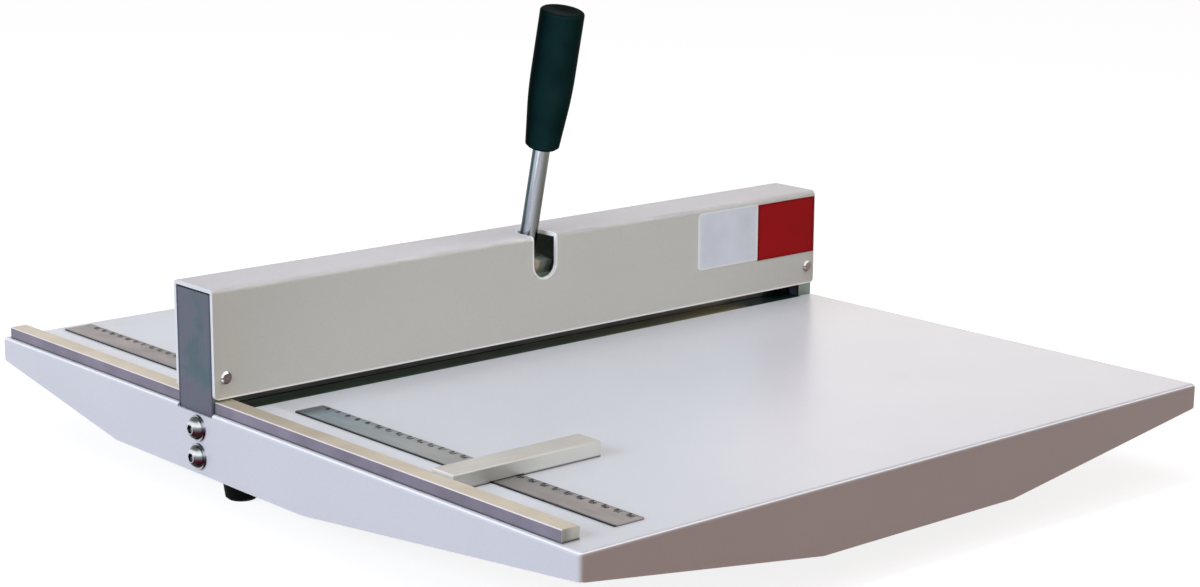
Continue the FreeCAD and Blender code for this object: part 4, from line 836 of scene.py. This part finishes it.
def add_floor():
    """A large plain floor: paper white where it is seen, with the object's soft shadow."""
    corners = [(x, y, 0) for x, y in ((-FLOOR_REACH, -FLOOR_REACH), (FLOOR_REACH, -FLOOR_REACH),
                                      (FLOOR_REACH, FLOOR_REACH), (-FLOOR_REACH, FLOOR_REACH))]
    mesh = bpy.data.meshes.new("floor")
    mesh.from_pydata(corners, [], [(0, 1, 2, 3)])
    floor = bpy.data.objects.new("floor", mesh)
    bpy.context.scene.collection.objects.link(floor)
    nodes = Nodes("floor")
    seen = seen_rays(nodes)
    nodes.to("Base Color", nodes.mix(seen, FLOOR_TO_LIGHT, FLOOR_SEEN))
    nodes.set(Roughness=0.9, Specular_IOR_Level=0.0)
    glow = nodes.new("ShaderNodeEmission")
    nodes.link(nodes.math("MULTIPLY", seen, FLOOR_GLOW), glow.inputs["Strength"])
    both = nodes.new("ShaderNodeAddShader")
    nodes.link(nodes.shader.outputs["BSDF"], both.inputs[0])
    nodes.link(glow.outputs["Emission"], both.inputs[1])
    nodes.link(both.outputs["Shader"], nodes.output.inputs["Surface"])
    floor.data.materials.append(nodes.material)


class WorldNodes(Nodes):
    """The same calls for the world's tree."""

    def __init__(self, name):
        world = bpy.data.worlds.new(name)
        bpy.context.scene.world = world
        world.use_nodes = True
        self.tree = world.node_tree
        self.tree.nodes.clear()
        self.output = self.tree.nodes.new("ShaderNodeOutputWorld")

    def lobe(self, towards, colour):
        """Light that is strongest from one direction and fades to none at right angles."""
        coordinates = self.new("ShaderNodeTexCoord")
        turned = self.dot(coordinates.outputs["Generated"], towards)
        tinted = self.new("ShaderNodeVectorMath", operation="SCALE")
        tinted.inputs[0].default_value = colour
        self.link(self.math("MAXIMUM", turned, 0.0), tinted.inputs["Scale"])
        return tinted.outputs["Vector"]

    def sum(self, first, second):
        both = self.new("ShaderNodeVectorMath", operation="ADD")
        self.link(first, both.inputs[0])
        self.link(second, both.inputs[1])
        return both.outputs["Vector"]


def add_world():
    """White behind the object; elsewhere a room with its own light from each side."""
    nodes = WorldNodes("studio")
    total, *others = [nodes.lobe(towards, colour) for towards, colour in ROOM]
    for lobe in others:
        total = nodes.sum(total, lobe)
    room = nodes.new("ShaderNodeBackground")
    nodes.link(total, room.inputs["Color"])
    white = nodes.new("ShaderNodeBackground", Color=(1, 1, 1, 1), Strength=1.0)
    mix = nodes.new("ShaderNodeMixShader")
    nodes.link(seen_rays(nodes), mix.inputs["Fac"])
    nodes.link(room.outputs["Background"], mix.inputs[1])
    nodes.link(white.outputs["Background"], mix.inputs[2])
    nodes.link(mix.outputs["Shader"], nodes.output.inputs["Surface"])


def add_lamp(name, place, aim, size, power, colour, spread, mirrored):
    """A rectangular lamp; one that isn't mirrored leaves no glare on glossy surfaces."""
    light = bpy.data.lights.new(name, "AREA")
    light.shape = "RECTANGLE"
    light.size, light.size_y = size
    light.energy = power
    light.color = colour
    light.spread = math.radians(spread)
    lamp = bpy.data.objects.new(name, light)
    bpy.context.scene.collection.objects.link(lamp)
    lamp.location = place
    lamp.rotation_euler = (Vector(aim) - Vector(place)).to_track_quat("-Z", "Y").to_euler()
    lamp.visible_camera = False
    lamp.visible_glossy = mirrored


def add_camera():
    turn, dip, roll = (math.radians(angle) for angle in (CAMERA_TURN, CAMERA_DIP, CAMERA_ROLL))
    ahead = Vector((math.sin(turn) * math.cos(dip), math.cos(turn) * math.cos(dip),
                    -math.sin(dip)))
    right = Vector((math.cos(turn), -math.sin(turn), 0))
    up = right.cross(ahead)
    rolled_right = right * math.cos(roll) + up * math.sin(roll)
    rolled_up = up * math.cos(roll) - right * math.sin(roll)
    data = bpy.data.cameras.new("camera")
    data.sensor_fit = "HORIZONTAL"
    data.sensor_width = 36
    data.lens = FOCAL_PIXELS / IMAGE_WIDTH * data.sensor_width
    data.clip_start = 0.05
    data.clip_end = 50
    camera = bpy.data.objects.new("camera", data)
    bpy.context.scene.collection.objects.link(camera)
    turned = Matrix((rolled_right, rolled_up, -ahead)).transposed().to_4x4()
    camera.matrix_world = Matrix.Translation(CAMERA_PLACE) @ turned
    bpy.context.scene.camera = camera


add_floor()
add_world()
for lamp_values in LAMPS:
    add_lamp(*lamp_values)
add_camera()
bpy.context.scene.view_settings.view_transform = "Standard"
